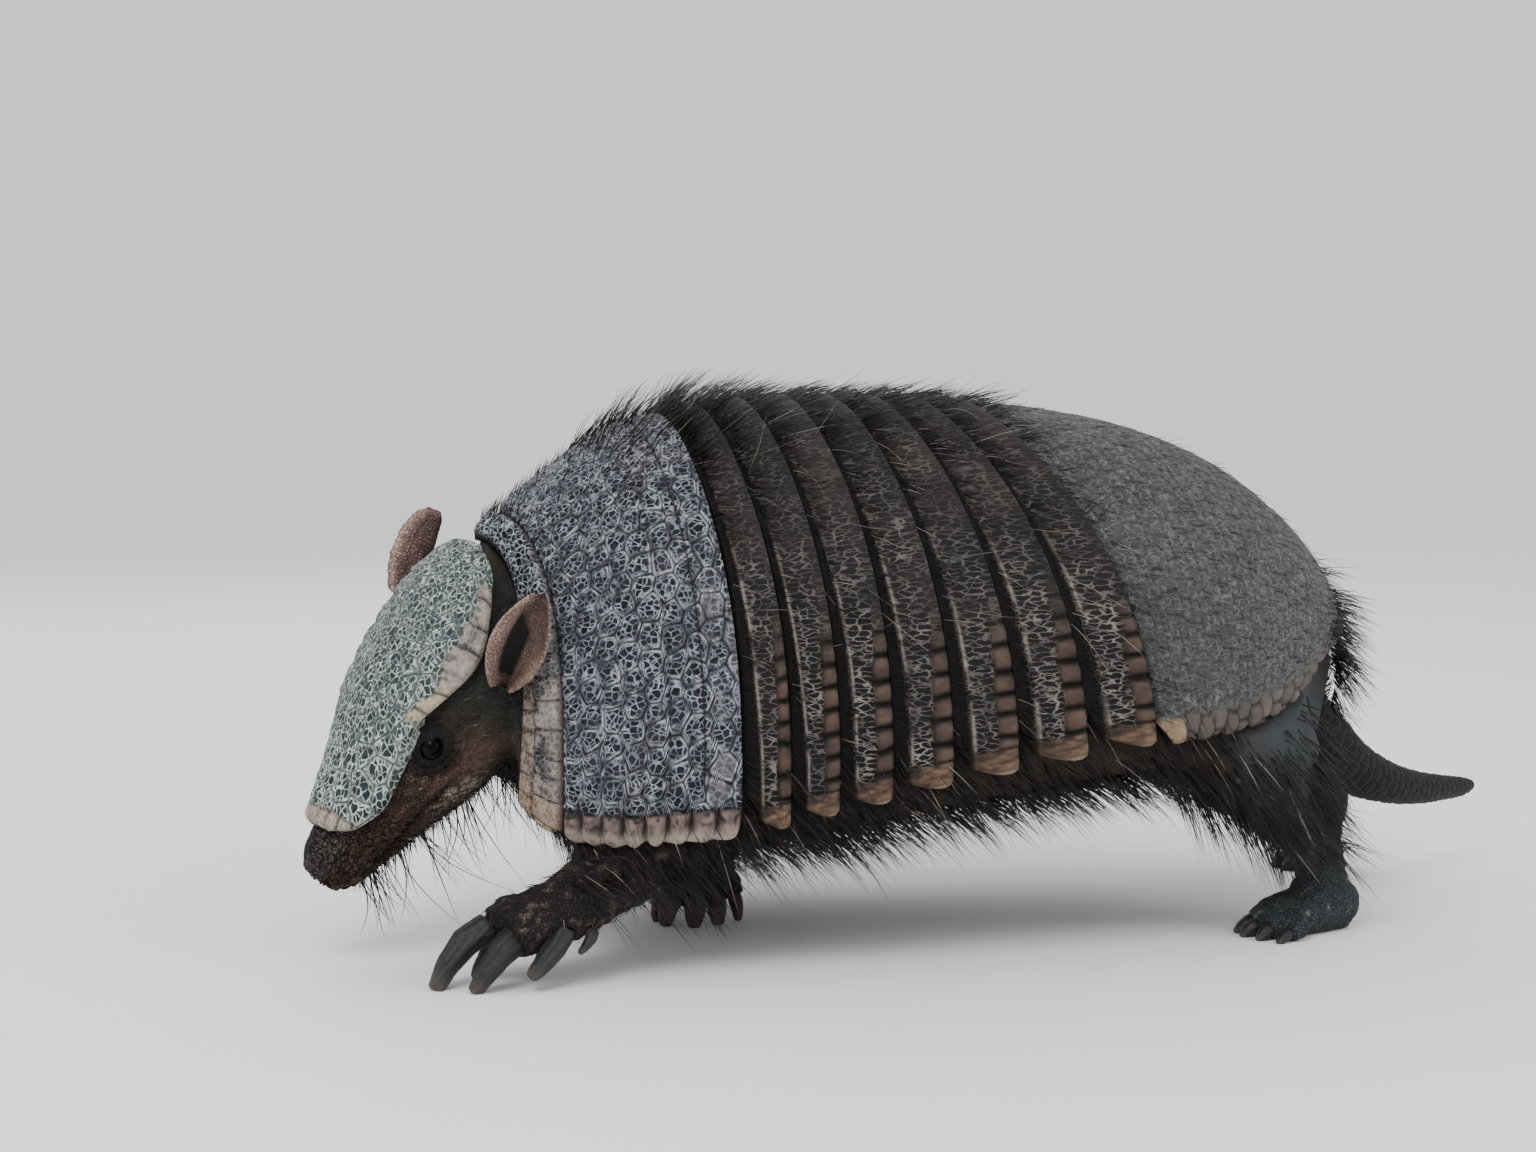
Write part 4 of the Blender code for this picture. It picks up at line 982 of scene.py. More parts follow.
def refined(points, faces, picked):
    # every edge of the picked triangles is halved; triangles beside them are cut to fit
    corners = np.stack((faces, np.roll(faces, -1, axis=1)), axis=-1).reshape(-1, 2)
    edges, back = np.unique(np.sort(corners, axis=1), axis=0, return_inverse=True)
    back = back.reshape(-1, 3)
    halved = np.zeros(len(edges), bool)
    halved[back[picked].ravel()] = True
    number = np.cumsum(halved) - 1 + len(points)
    points = np.concatenate((points, points[edges[halved]].mean(axis=1)))
    middle = np.where(halved[back], number[back], -1)
    amount = (middle >= 0).sum(axis=1)
    # in the cuts 0 to 2 are a triangle's corners and 3 to 5 the middles of its edges
    whole = np.concatenate((faces, middle), axis=1)[amount == 3]
    made = [faces[amount == 0]] + [whole[:, cut] for cut in ([0, 3, 5], [1, 4, 3], [2, 5, 4], [3, 4, 5])]
    for turn in range(3):
        turned = np.concatenate([np.roll(part, -turn, axis=1) for part in (faces, middle)], axis=1)
        one = turned[(amount == 1) & (turned[:, 3] >= 0)]
        two = turned[(amount == 2) & (turned[:, 5] < 0)]
        made += [one[:, cut] for cut in ([0, 3, 2], [3, 1, 2])]
        made += [two[:, cut] for cut in ([3, 1, 4], [0, 3, 4], [0, 4, 2])]
    return points, np.concatenate(made)


class Spots:
    # where points lie, in millimetres: x, y, z in the animal; along, side and up in the head, and turn the
    # degrees round it from the forehead; head is 1 on the head, body 1 elsewhere; eye is the way to the
    # nearer eye
    def __init__(self, points):
        self.raw = points / mm
        self.x, self.y, self.z = ((points - shift) / mm).T
        axes = np.stack((forward, rightward, upward))
        self.along, self.side, self.up = ((points - headBack) / mm @ axes.T).T
        self.head = ease(self.along, -2, 8) * (np.hypot(self.side / 44, self.up / 40) < 1)
        self.body = 1 - self.head
        self.turn = np.degrees(np.arctan2(np.abs(self.side), self.up))
        self.eye = np.min([np.linalg.norm(points - eyeMiddle[side], axis=1) for side in sides], axis=0) / mm

    def inHead(self, stretch, scale=1.0):
        # places for noise in the head's own directions
        return xyz(self.along * stretch, self.side * scale, self.up * scale)

    def mouth(self):
        # the mouth's place round the head, in degrees
        return 106 + 9 * (self.along - 85) / 38

    def pads(self):
        # the snout's small pads: how far the nearest border is
        return pebbled(self.along, self.turn * 0.26, 2.7, 0.8, 217)


def lidFolds(points, side):
    # rings of lids and folds round an eye, with the hooded upper lid the highest, and a hollow for the ball;
    # the second value draws the lid's inner edge in over the ball
    axis = eyeAxis[side]
    rel = (points - eyeMiddle[side]) / mm
    deep = rel @ axis
    flat = rel - deep[:, None] * axis
    upLine = unit(upward - (upward @ axis) * axis)
    a, b = flat @ np.cross(axis, upLine), flat @ upLine
    far, angle = np.hypot(a * 0.96, b * 1.2), np.arctan2(b, a)
    zone = (far < 18) * (deep > -8)
    wave = 0.9 * cloud(xyz(np.cos(angle) * 1.6, np.sin(angle) * 1.6, far * 0.12), 1.0, 203)
    part = ease(cloud(xyz(np.cos(angle) * 1.5, np.sin(angle) * 1.5, far * 0.2), 1.0, 204), -0.5, 0.5)
    ring = far + wave
    hood = 1 + 0.7 * clamp(np.sin(angle)) - 0.25 * clamp(-np.sin(angle))
    lift = 1.5 * hump(ring, 5.5, 1.2) * hood - 3.4 * (1 - ease(far, 3.4, 4.5))
    lift += (-0.8 * hump(ring, 7.7, 0.6) + 0.6 * hump(ring, 9.0, 0.8) - 0.7 * hump(ring, 10.6, 0.6)) * part
    lift += (0.45 * hump(ring, 12.2, 0.9) - 0.35 * hump(ring, 13.7, 0.6)) * (1 - part)
    lift -= 0.45 * np.sin(angle * 15 + 3 * wave) * hump(far, 10.0, 3.4)      # fine spokes in the folds
    return zone * lift, times(-unit(flat), 0.7 * hump(far, 5.0, 0.9) * hood * zone)


def shapeSkin(points, faces):
    # how far the hide stands out at each point: lids, muzzle wrinkles and pads, mouth, lips, nostrils, cheek,
    # grooves of the head, neck folds, leg folds and scales of the toes, over soft unevenness
    at = Spots(points)
    head, body, along, side, up, turn, z = at.head, at.body, at.along, at.side, at.up, at.turn, at.z
    lift = 0.30 * clouds(at.raw, 7, 200) * body + 0.25 * clouds(at.raw, 5, 201) * head
    move = 0
    for name in sides:
        lids, inward = lidFolds(points, name)
        lift, move = lift + lids * head, move + times(inward, head)
    lined = clouds(at.inHead(0.55, 1.1), 3.2, 210)
    wrinkle = ease(np.abs(cloud(xyz(along * 0.7 + lined, side, up), 2.3, 211)), 0.0, 0.25) - 0.7
    face = ease(along, 80, 98) * (0.8 * ease(along, 90, 102) * wrinkle + 0.35 * lined)
    face -= 0.75 * (ease(at.pads(), 0.42, 0.0) - 0.3) * ease(along, 88, 100)
    mouth = at.mouth()
    face -= 2.1 * hump(turn, mouth, 3.6) * ease(along, 66, 78) * (1 - ease(along, 122, 124))
    face += 0.8 * hump(turn, mouth + 12, 7) * ease(along, 76, 90)       # lower lip
    face += 0.9 * hump(turn, mouth - 14, 9) * ease(along, 84, 96)       # upper lip
    face += 1.0 * hump(along, 121, 6) * (up > -4)                       # nose
    for sign in (-1, 1):
        far = np.sqrt(((side - sign * 4.6) / 1.5) ** 2 + ((up - 1.0) / 2.0) ** 2)
        face -= ease(along, 117, 121) * (3.0 * (1 - ease(far, 0.7, 1.5)) - 0.7 * hump(far, 1.9, 0.5))
    face += hump(along, 70, 14) * hump(turn, 112, 20) * (1.0 + 0.35 * clouds(at.raw, 2.6, 212))      # cheek
    face += 0.35 * cloud(at.inHead(0.25), 4.2, 213) * ease(along, 4, 20) * (1 - ease(along, 60, 70))
    neck = ease(at.x, -176, -168) * (1 - ease(at.x, -150, -140)) * ease(z, 48, 58)
    run = (at.x + 0.35 * z) + 2.5 * cloud(at.raw, 14, 214)
    low = 1 - ease(z, 44, 58)
    fold = (z * 0.9 + 0.25 * at.x) + 2.2 * cloud(at.raw, 9, 215)
    rest = neck * 0.9 * np.sin(run * 2 * math.pi / 6.5)
    rest += low * ease(z, 9, 16) * 0.35 * np.sin(fold * 2 * math.pi / 4.2)
    rest += low * (1 - ease(z, 14, 22)) * 0.3 * (pebbled(at.x, at.y, 2.4, 0.6, 216) - 0.5)
    lift = lift + head * face + body * rest
    lift = np.where(body > 0.5, lift * ease(z, 0.6, 2.2), lift)         # soles stay flat
    shaped = points + (times(pointNormals(points, faces), lift) + move) * mm
    shaped[:, 2] = np.maximum(shaped[:, 2], 0)
    return shaped


def skinTint(points):
    # the hide's markings by place: muzzle, cheek, lids, pale specks, neck, slate hind legs, brown-black rest
    look = skinSet
    at = Spots(points)
    along, turn, x, z = at.along, at.turn, at.x, at.z
    mottle, fine = clouds(at.raw, 9, 220), clouds(at.raw, 2.4, 221)
    fore = (1 - ease(z, 62, 80)) * (x < -40)
    hind = (1 - ease(z, 84, 100)) * ease(x, 88, 104)
    neck = at.body * (1 - ease(x, -158, -146)) * ease(z, 44, 56) * (1 - ease(z, 90, 112))
    tint = layered(
        times(look["dark"], 0.85 + 0.3 * mottle),
        (look["belly"], ease(z, 30, 44) * (1 - ease(z, 66, 78)) * 0.6),
        (times(look["fore"], 0.85 + 0.3 * fine), fore * 0.8),
        (look["grizzle"], fore * ease(fine, 0.15, 0.5) * ease(z, 10, 22) * 0.55),
        (times(look["hind"], 0.7 + 0.25 * fine + 0.12 * mottle), hind * 0.85),
        (look["dust"], hind * ease(fine, 0.35, 0.62) * 0.6),
        (look["neck"], neck * (0.35 + 0.4 * ease(fine, -0.3, 0.5))))
    cheek = hump(along, 74, 13) * hump(turn, 92, 22) * (0.55 + 0.45 * ease(fine, -0.5, 0.3))
    face = layered(
        times(look["face"], 0.8 + 0.35 * fine), (look["green"], (1 - ease(along, 40, 62)) * 0.8),
        (times(look["muzzle"], 0.75 + 0.4 * fine), ease(along, 74, 96) * 0.85),
        (times(look["grey"], 0.85 + 0.3 * fine), ease(along, 92, 104) * (1 - ease(turn, 42, 72)) * 0.85),
        (times(look["cheek"], 0.75 + 0.45 * fine), cheek),
        (look["cheek"] * 0.9, hump(along, 58, 8) * hump(turn, 104, 14) * 0.6),
        (look["dark"] * 0.75, ease(turn, 118, 140) * 0.7),
        (look["lid"] * 0.7, ease(at.pads(), 0.40, 0.05) * ease(along, 88, 100) * 0.7),
        (look["lid"] * 0.6, hump(turn, at.mouth(), 4.5) * ease(along, 64, 76) * 0.8))
    face = times(face, 0.8 + 0.4 * ease(clouds(at.inHead(0.5, 1.6), 2.0, 225), -0.4, 0.5))
    for side in sides:
        far = np.linalg.norm((points - eyeMiddle[side]) / mm, axis=1)
        face = layered(face, (look["lid"], (1 - ease(far + 1.5 * fine, 7.6, 12.5)) * 0.95))
    specks = cells(along + at.up * 0.3, at.up * 1.3 - along * 0.3, 2.6, 2.6, 0.8, 0.5, 224)[0]
    face = layered(
        face, (look["lid"] * 1.1, hump(along, 66, 22) * hump(turn, 57, 9) * 0.85),     # beside the shield
        (look["speck"],
         clamp(ease(specks, 1.25, 0.75) * hump(along, 74, 8) * hump(turn, 116, 9) * 1.6, 0, 0.85)),
        (look["lips"], hump(along, 122, 4) * hump(turn, 118, 14) * ease(fine, 0.0, 0.5) * 0.7))
    return layered(tint, (face, at.head))


def toeZone(points):
    # 1 on the toes, next to a claw, down to 0 away from them
    far = np.full(len(points), 1.0)
    for leg in legNames:
        for number in range(1, clawSet["count"] + 1):
            low, high = np.array(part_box(f"{leg}_claw_{number}"))
            outside = np.maximum(0, np.maximum(low - points, points - high))
            far = np.minimum(far, np.linalg.norm(outside, axis=1))
    return 1 - ease(far / mm, skinSet["toeNear"], skinSet["toeFar"])


def makeSkin():
    # the flesh solids as one surface, smoothed except at the toes, drawn in by the coat's depth, thinned
    # where shell or hair hides it, refined at the eyes and muzzle, and then given its folds
    look = skinSet
    points, faces = unionOf([solidOf(node, look["grow"]) for node in look["nodes"]], look["voxel"])
    at, toe = Spots(points), toeZone(points)
    head, body = at.head, at.body
    foot = (1 - ease(at.z, 13, 20)) * body
    weight = clamp(0.62 - 0.34 * foot - 0.22 * head, 0.15, 0.62) * (1 - 0.88 * toe)
    points = smoothed(points, faces, look["passes"], np.where(at.z < 0.9, weight * 0.15, weight))
    at = Spots(points)
    x, z = at.x, at.z
    upper = ease(z, 30, 40)
    depth = 1.5 + 3.5 * upper * (1 - ease(z, 58, 72)) * body - 0.9 * foot
    depth = np.where(head > 0.5, 0.9, depth) * (1 - toe) - 0.25 * toe
    points = points - times(pointNormals(points, faces), np.where(z < 1.5, 0.2, depth) * mm)
    hidden = (ease(z, 84, 100) + 0.75 * ease(z, 60, 70) * upper) * (x > -140) * body
    hidden = clamp(hidden + 0.25 * body * (1 - foot) * (1 - toe))
    print("skin before thinning", len(faces), "triangles")
    points, faces = changed(points, faces, "DECIMATE", {"ratio": look["triangles"] / len(faces),
                                                        "vertex_group": "weight"}, hidden)
    at = Spots(points)
    zone = (at.eye < look["eyeZone"]) | ((at.along > 88) & (at.head > 0))
    points, faces = refined(points, faces, zone[faces].all(axis=1))
    zone = Spots(points).eye < look["eyeZone"] * look["innerZone"]
    points, faces = refined(points, faces, zone[faces].all(axis=1))
    points = shapeSkin(smoothed(points, faces, 3, 0.4 * Spots(points).head), faces)
    at = Spots(points)
    creased = at.head * (ease(at.along, 58, 92) + 0.3) + 0.8 * at.body * (1 - ease(at.z, 30, 60))
    piece = newPiece("skin", points, [], faces, finishes["skin"], skinTint(points),
                     {"crest": clamp(0.5 + 0.5 * clouds(at.raw, 3, 230)), "web": clamp(creased)})
    rideOn(piece, "hairy_skin", *look["nodes"])
    return points, faces


# eyes

def makeEyes():
    # glossy balls with a slightly raised front: rings of latitude about the axis the eye looks along
    finish = Finish("wetEye", 0.05, IOR=1.15)
    finish.put("Base Color", finish.colour())
    around = np.linspace(0, 2 * math.pi, eyeSet["round"], endpoint=False)[:, None]
    tilt = np.linspace(0.03, math.pi - 0.03, eyeSet["rings"])[None, :]
    radius = eyeSet["radius"] * mm * (1 + eyeSet["bulge"] * hump(tilt, 0, 0.5))
    tint = layered(ink(5, 4, 4), (ink(22, 15, 11), hump(tilt, 0.72, 0.16) + 0 * around))
    for name in sides:
        axis = eyeAxis[name]
        across = unit(np.cross(axis, (0, 0, 1.0)))
        ball = eyeMiddle[name] - axis * eyeSet["back"] * mm + (
            times(across, np.cos(around) * np.sin(tilt) * radius)
            + times(np.cross(across, axis), np.sin(around) * np.sin(tilt) * radius)
            + times(axis, np.cos(tilt) * radius + 0 * around))
        rideOn(closedLoft(f"eye{name.title()}", ball, finish.material, tint), "wet_eye", f"eye_{name}")


# ears

earSet = {
    "left": {"root": (-168.5, -58.5, 101), "tip": (-156, -68, 132.5), "facing": (-0.30, -0.95, 0.05)},
    "right": {"root": (-196, 17, 128), "tip": (-183, 24, 158), "facing": (-0.80, 0.55, 0.05)},
    # dark is near-black: painted shade in the cup's hollow, and the darkening of the outside towards the root
    "width": 19, "sunk": 0.05, "rows": 96, "columns": 52, "rim": ink(204, 172, 160), "dark": ink(7, 8, 8),
    "wall": ink(106, 86, 79), "tan": ink(190, 162, 144), "outside": ink(150, 122, 114),
}


def makeEar(name):
    # a cup: across it the section is an arc pushed back in the middle, thick-rimmed, over a height that
    # widens and closes as a power of a sine; the front rim is the thicker one
    look = earSet
    root, tip = (np.array(look[name][k]) * mm + shift for k in ("root", "tip"))
    axis, length = unit(tip - root), np.linalg.norm(tip - root)
    facing = np.array(look[name]["facing"])
    facing = unit(facing - (facing @ axis) * axis)
    across = np.cross(axis, facing) * (1 if name == "left" else -1)      # runs from the front rim to the rear
    u = np.linspace(-look["sunk"], 1.0, look["rows"])[None, :]
    v = np.linspace(-1, 1, look["columns"])[:, None]
    half = look["width"] / 2 * mm * np.sin(math.pi * clamp(0.09 + 0.87 * u, 0.03, 0.985) ** 0.9) ** 0.7
    cup = 0.36 * look["width"] * mm * (1 - 0.6 * clamp(u))
    flat = xyz(v * 12, u * 34, 0)
    bumpy = 1 + 0.15 * cloud(xyz(flat[..., 1], np.sign(flat[..., 0]) * 9, 0), 3.0, 246)
    rim = (2.6 * hump(v, -1, 0.26) + 1.4 * hump(v, 1, 0.14)) * bumpy + 1.1 * ease(u, 0.86, 1.0)
    grains = pebbled(flat[..., 1], flat[..., 0], 1.5, 0.7, 245 + len(name))
    rough = (0.25 * clouds(flat, 3.0, 240 + len(name)) + 0.5 * (ease(grains, 0, 0.4) - 0.6)) * mm
    ends = ease(half / mm, 2.0, 4.5)

    def wall(offset, squeeze):
        back = -cup * (1 - np.abs(v) ** 2.2) + offset * ends
        bow = 0.06 * length * np.sin(math.pi * clamp(u))
        return (root + axis * (u * length)[..., None] + across * (v * half * squeeze)[..., None]
                + facing * (back + bow - 0.03 * length * v)[..., None])

    ridge = 0.6 * mm * (hump(v, 0.35, 0.1) + hump(v, 0.0, 0.08)) * (1 - ease(u, 0.5, 0.8))
    inner = wall((0.7 + rim) * mm * 0.8 + rough * 0.7 + ridge, 0.94)
    outer = wall(rough * 0.5 - (0.8 + 0.6 * rim) * mm, 1.0)
    lean = across * mm * 0.9
    grid = np.concatenate((inner, (inner[-1:] + outer[-1:]) / 2 + lean, outer[::-1],
                           (inner[:1] + outer[:1]) / 2 - lean))
    # hollow marks painted shade: the recess of the cup behind the thick front rim is darkened to near-black
    hollow = ease(hump(v, -0.2, 0.42), 0.25, 0.6) * (1 - ease(u + 0.25 * v, 0.6, 0.74)) * ease(u, 0.0, 0.1)
    mottle = clouds(flat, 4.5, 243)
    grainy = 0.74 + 0.34 * ease(grains, 0.0, 0.45)
    rimTint = times(look["rim"], (0.85 + 0.25 * mottle) * grainy)
    inTint = layered(rimTint,
                     (times(look["wall"], (0.9 + 0.3 * mottle) * grainy), 1 - hump(v, -1, 0.4) + 0 * u),
                     (times(look["tan"], grainy), hump(v, 1, 0.3) * (1 - ease(u, 0.25, 0.6)) * 0.8),
                     (look["dark"], hollow * 0.96))
    outTint = layered(times(look["outside"], (0.8 + 0.35 * mottle) * grainy),
                      (look["dark"], 0.55 * (1 - ease(u, 0.0, 0.3)) + 0 * v))
    plain = np.full(hollow.shape, 0.8)
    extra = {"crest": np.full(grid.shape[:2], 0.4),
             "web": np.concatenate((plain * (1 - hollow), plain[-1:], plain, plain[:1]))}
    tint = np.concatenate((inTint, rimTint[-1:], outTint[::-1], rimTint[:1]))
    rideOn(closedLoft(f"ear{name.title()}", grid, finishes["ear"], tint, extra), "ear_skin", f"ear_{name}")


# tail

tailRows = np.array((          # x, y, z and radius, from the root
    (146, 0, 80, 17), (162, 2, 66, 14.5), (181, 8, 52, 11.2), (202, 18, 43, 8.7), (222, 30, 38, 7),
    (240, 42, 35.5, 5.6), (256, 53, 34, 4), (262.5, 57.5, 33.8, 2.4)))
tailSet = {"ring": 4.6, "scutes": 9, "rings": 420, "round": 132,
           "base": ink(21, 23, 23), "groove": ink(9, 9, 9), "edge": ink(52, 52, 50)}


def makeTail():
    # rings of horny scales: along each ring the surface climbs to a scalloped rear edge and drops
    look = tailSet
    reach = np.append(0, np.cumsum(np.linalg.norm(np.diff(tailRows[:, :3], axis=0), axis=1)))
    run = np.linspace(0, reach[-1], look["rings"])
    rows = through(np.column_stack((reach, tailRows)))(run)
    middles = rows[:, :3] * mm + shift
    ahead = unit(np.gradient(middles, axis=0))
    across = unit(np.cross(ahead, (0, 0, 1.0)))
    around = np.linspace(0, 2 * math.pi, look["round"], endpoint=False)[:, None]
    ringNumber = run[None, :] / look["ring"]
    scale = around / (2 * math.pi) * look["scutes"]
    scallop = np.abs(np.mod(scale + 0.5 * np.mod(np.floor(ringNumber), 2), 1) - 0.5) * 2
    ringNumber = ringNumber + 0.22 * scallop**2.2
    place, ringAt = np.mod(ringNumber, 1), np.floor(ringNumber)
    scale = scale + 0.5 * np.mod(ringAt, 2)
    seam = hump(np.minimum(np.mod(scale, 1), 1 - np.mod(scale, 1)), 0, 0.07)
    climb = place**0.8 * (1 - ease(place, 0.93, 1.0))
    relief = clamp(rows[:, 3] / 9, 0.45, 1.15) * (1.15 * climb - 0.35 - 0.35 * seam)
    relief += 0.12 * cloud(xyz(run, np.cos(around) * 8, np.sin(around) * 8), 1.5, 250)
    end = run / run[-1]
    radius = rows[:, 3] * (1 - 0.75 * ease(end, 0.975, 1.0) ** 3) - 0.6 + relief * (1 - ease(end, 0.97, 1))
    grid = middles + (times(across, np.cos(around) * radius)
                      + times(np.cross(across, ahead), np.sin(around) * radius)) * mm
    grooves = hump(place, 0.99, 0.08) + hump(place, 0.0, 0.08) + seam * 0.7
    tint = layered(times(look["base"], 0.8 + 0.3 * scramble(ringAt, np.floor(scale), seed=251)),
                   (look["edge"], hump(place, 0.84, 0.09) * 0.45), (look["groove"], clamp(grooves, 0, 0.9)))
    piece = closedLoft("tail", grid, finishes["tail"], tint, {"crest": clamp(climb)})
    rideOn(piece, "tail_horn", "tail_base", "tail_tip")


# claws

clawSet = {"count": 5, "voxel": 0.55, "grow": 0.25, "passes": 9, "root": ink(44, 40, 40),
           "body": ink(46, 44, 45), "tip": ink(82, 76, 72), "far": ink(70, 52, 42)}


def makeClaws(leg):
    # each claw: a smoothed copy with lengthwise ridges, darker at the root and paler at the blunt tip
    look = clawSet
    nodes = [f"{leg}_claw_{number}" for number in range(1, look["count"] + 1)]
    made, tints = [], []
    for number, node in enumerate(nodes, 1):
        points, faces = unionOf([solidOf(node, look["grow"])], look["voxel"])
        points = smoothed(points, faces, look["passes"], np.full(len(points), 0.5))
        spread = points - points.mean(axis=0)
        axis = np.linalg.svd(spread, full_matrices=False)[2][0]
        axis = axis * (-1 if axis[2] > 0 else 1)
        run = spread @ axis
        run = (run - run.min()) / (run.max() - run.min())
        square = unit(np.cross(axis, (0, 0, 1.0)))
        angle = np.arctan2(spread @ np.cross(axis, square), spread @ square)
        stripes = cloud(xyz(np.cos(angle) * 5, np.sin(angle) * 5, run * 1.2 + number), 1.0, 260)
        rings = cloud(xyz(run * 22, number, 0), 1.0, 261)
        relief = (0.16 * stripes + 0.08 * rings) * ease(points[:, 2] / mm, 0.4, 1.6)
        points = points + times(pointNormals(points, faces), relief * mm)
        points[:, 2] = np.maximum(points[:, 2], 0)
        tint = times(layered(look["root"], (look["body"], ease(run, 0.1, 0.5)),
                             (look["tip"], ease(run, 0.72, 1.0) * 0.75)), 0.9 + 0.3 * stripes)
        made.append((points, faces))
        tints.append(layered(tint, (look["far"], np.full(len(points), 0.45 * ("right" in leg)))))
    points, faces = joined(made)
    piece = newPiece("claws" + leg.title().replace("_", ""), points, [], faces, finishes["claw"],
                     np.concatenate(tints), {"crest": np.full(len(points), 0.6)})
    rideOn(piece, "claw_horn", *nodes)


# hair: thin tapered tubes, joined by the thousand

hairFinish = Finish("coatHair", 0.45, IOR=1.33)
hairFinish.put("Base Color", hairFinish.mix(hairFinish.noise(4 * mm) * 0.35, hairFinish.colour(),
                                            (0.035, 0.027, 0.023, 1)))
coatSet = {
    "black": ink(26, 22, 22), "brown": ink(54, 43, 36), "pale": ink(196, 188, 176), "warm": ink(30, 25, 22),
    "belly": 7600, "legs": 8200, "fringe": 1900, "face": 8000, "neck": 1500, "throat": 84, "chin": 600,
    "back": 2500, "shoulders": 900, "bands": 3600, "hip": 1300, "rump": 1300, "edges": 3400, "long": 90,
    "room": 11, "patch": 0.0028, "mostTriangles": 196000, "batch": 2000,
}


def fitted(roots, reach, length):
    # shortens the hairs whose tips would leave the room round the animal
    low, high = (np.array(corner) for corner in cadBox)
    room = coatSet["room"] * mm
    low, high = low - room * np.array((1, 1, 0)) + (0, 0, 0.5 * mm), high + room
    step = reach * (length * mm)[:, None]
    share = np.where(step > 0, high - roots, low - roots) / np.where(np.abs(step) < 1e-7, 1e-7, step)
    return length * clamp(share.min(axis=1), 0.08)


def unwrap(points):
    # the skin's own unwrap: the body round its long axis, each leg round its own, the head round its own
    at = Spots(points)
    u = 0.02 + 0.64 * (at.x + 185) / 450
    v = 0.02 + 0.96 * (np.arctan2(at.y, at.z - 105) / (2 * math.pi) + 0.5)
    for index, leg in enumerate(legNames):
        middle = (np.mean(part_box(f"{leg}_lower"), axis=0) - shift) / mm
        mine = (at.z < 58) & (np.abs(at.x - middle[0]) < 46) & (at.y * middle[1] > 0)
        around = np.arctan2(at.y - middle[1], at.x - middle[0]) / (2 * math.pi) + 0.5
        u = np.where(mine, 0.70 + 0.28 * at.z / 60, u)
        v = np.where(mine, 0.02 + 0.19 * index + 0.17 * around, v)
    inHead = at.head > 0.5
    u = np.where(inHead, 0.70 + 0.28 * at.along / 130, u)
    v = np.where(inHead, 0.80 + 0.18 * (np.arctan2(at.side, at.up) / (2 * math.pi) + 0.5), v)
    return clamp(np.stack((u, v), axis=1), 0, 0.996)


def makeHair(name, roots, lean, length, width, bend, tint, rings):
    # a hair's middle line is its root plus the lean times the way along plus the bend times its square;
    # round it three sides whose radius shrinks to a point
    many = len(roots)
    bend = np.broadcast_to(bend, roots.shape)
    if many * (rings * 6 - 2) > coatSet["mostTriangles"]:
        for letter, part in (("A", slice(many // 2)), ("B", slice(many // 2, many))):
            makeHair(name + letter, *(v[part] for v in (roots, lean, length, width, bend, tint)), rings)
        return
    way = np.linspace(0, 1, rings + 1)[:-1] ** 0.85
    run = fitted(roots, lean + bend, length)[:, None] * mm
    leans, bends, along = lean[:, None], bend[:, None], way[:, None]
    middle = roots[:, None] + run[:, None] * (leans * along + bends * along**2)
    ahead = unit(leans + 2 * bends * along)
    across = unit(np.cross(ahead, (0.13, 0.21, 0.97)))
    other = np.cross(ahead, across)
    radius = (width[:, None] * mm * (1 - way) ** 0.7)[..., None]
    body = np.stack([middle + radius * (across * math.cos(turn) + other * math.sin(turn))
                     for turn in np.arange(3) * 2 * math.pi / 3], axis=2)
    points = np.concatenate((body.reshape(many, -1, 3), (roots + run * (lean + bend))[:, None]), axis=1)
    points[..., 2] = np.maximum(points[..., 2], 0.1 * mm)
    base = np.arange(many)[:, None, None] * (rings * 3 + 1)
    here = np.arange(3)
    after = (here + 1) % 3
    top = rings * 3 - 3
    levels = np.arange(rings - 1)[:, None] * 3
    quads = np.stack((levels + here, levels + after, levels + after + 3, levels + here + 3), axis=-1)
    tris = [(2, 1, 0), *((top + a, top + b, top + 3) for a, b in zip(here, after))]
    lighter = np.append(np.repeat(0.75 + 0.45 * way, 3), 1.25)
    piece = newPiece(name, points, quads.reshape(-1, 4) + base, np.array(tris) + base, hairFinish.material,
                     tint[:, None] * lighter[:, None])
    patch = np.stack((np.append(np.tile((0, 0.5, 1.0), rings), 0.5), np.append(np.repeat(way, 3), 1)), axis=1)
    places = (unwrap(roots)[:, None] + patch * coatSet["patch"]).reshape(-1, 2)
    corners = np.empty(len(piece.data.loops), np.int32)
    piece.data.loops.foreach_get("vertex_index", corners)
    layer = piece.data.uv_layers.new(name="OFBake")
    layer.data.foreach_set("uv", places[corners].astype(np.float32).ravel())
    rideOn(piece, "hairy_skin")


def leaning(normals, flow, lift, jitter, chance):
    # directions along the flow, laid on the surface, raised by the lift and ruffled
    flat = flow - np.einsum("ij,ij->i", flow, normals)[:, None] * normals
    lean = times(unit(flat), np.cos(np.radians(lift))) + times(normals, np.sin(np.radians(lift)))
    return unit(lean + chance.normal(0, jitter, normals.shape))


def gathered(spots, lean, length, share, chance, amount):
    # hairs drawn together in tufts: each leans towards the tip of its nearest tuft leader
    leaders = chance.choice(len(spots), max(1, int(len(spots) * share)), replace=False)
    own = spots + lean * (length * mm)[:, None]
    nearest = np.empty(len(spots), int)
    for start in range(0, len(spots), coatSet["batch"]):
        part = slice(start, start + coatSet["batch"])
        nearest[part] = ((spots[part, None] - spots[leaders][None]) ** 2).sum(axis=2).argmin(axis=1)
    return unit(own + (own[leaders][nearest] - own) * amount - spots)


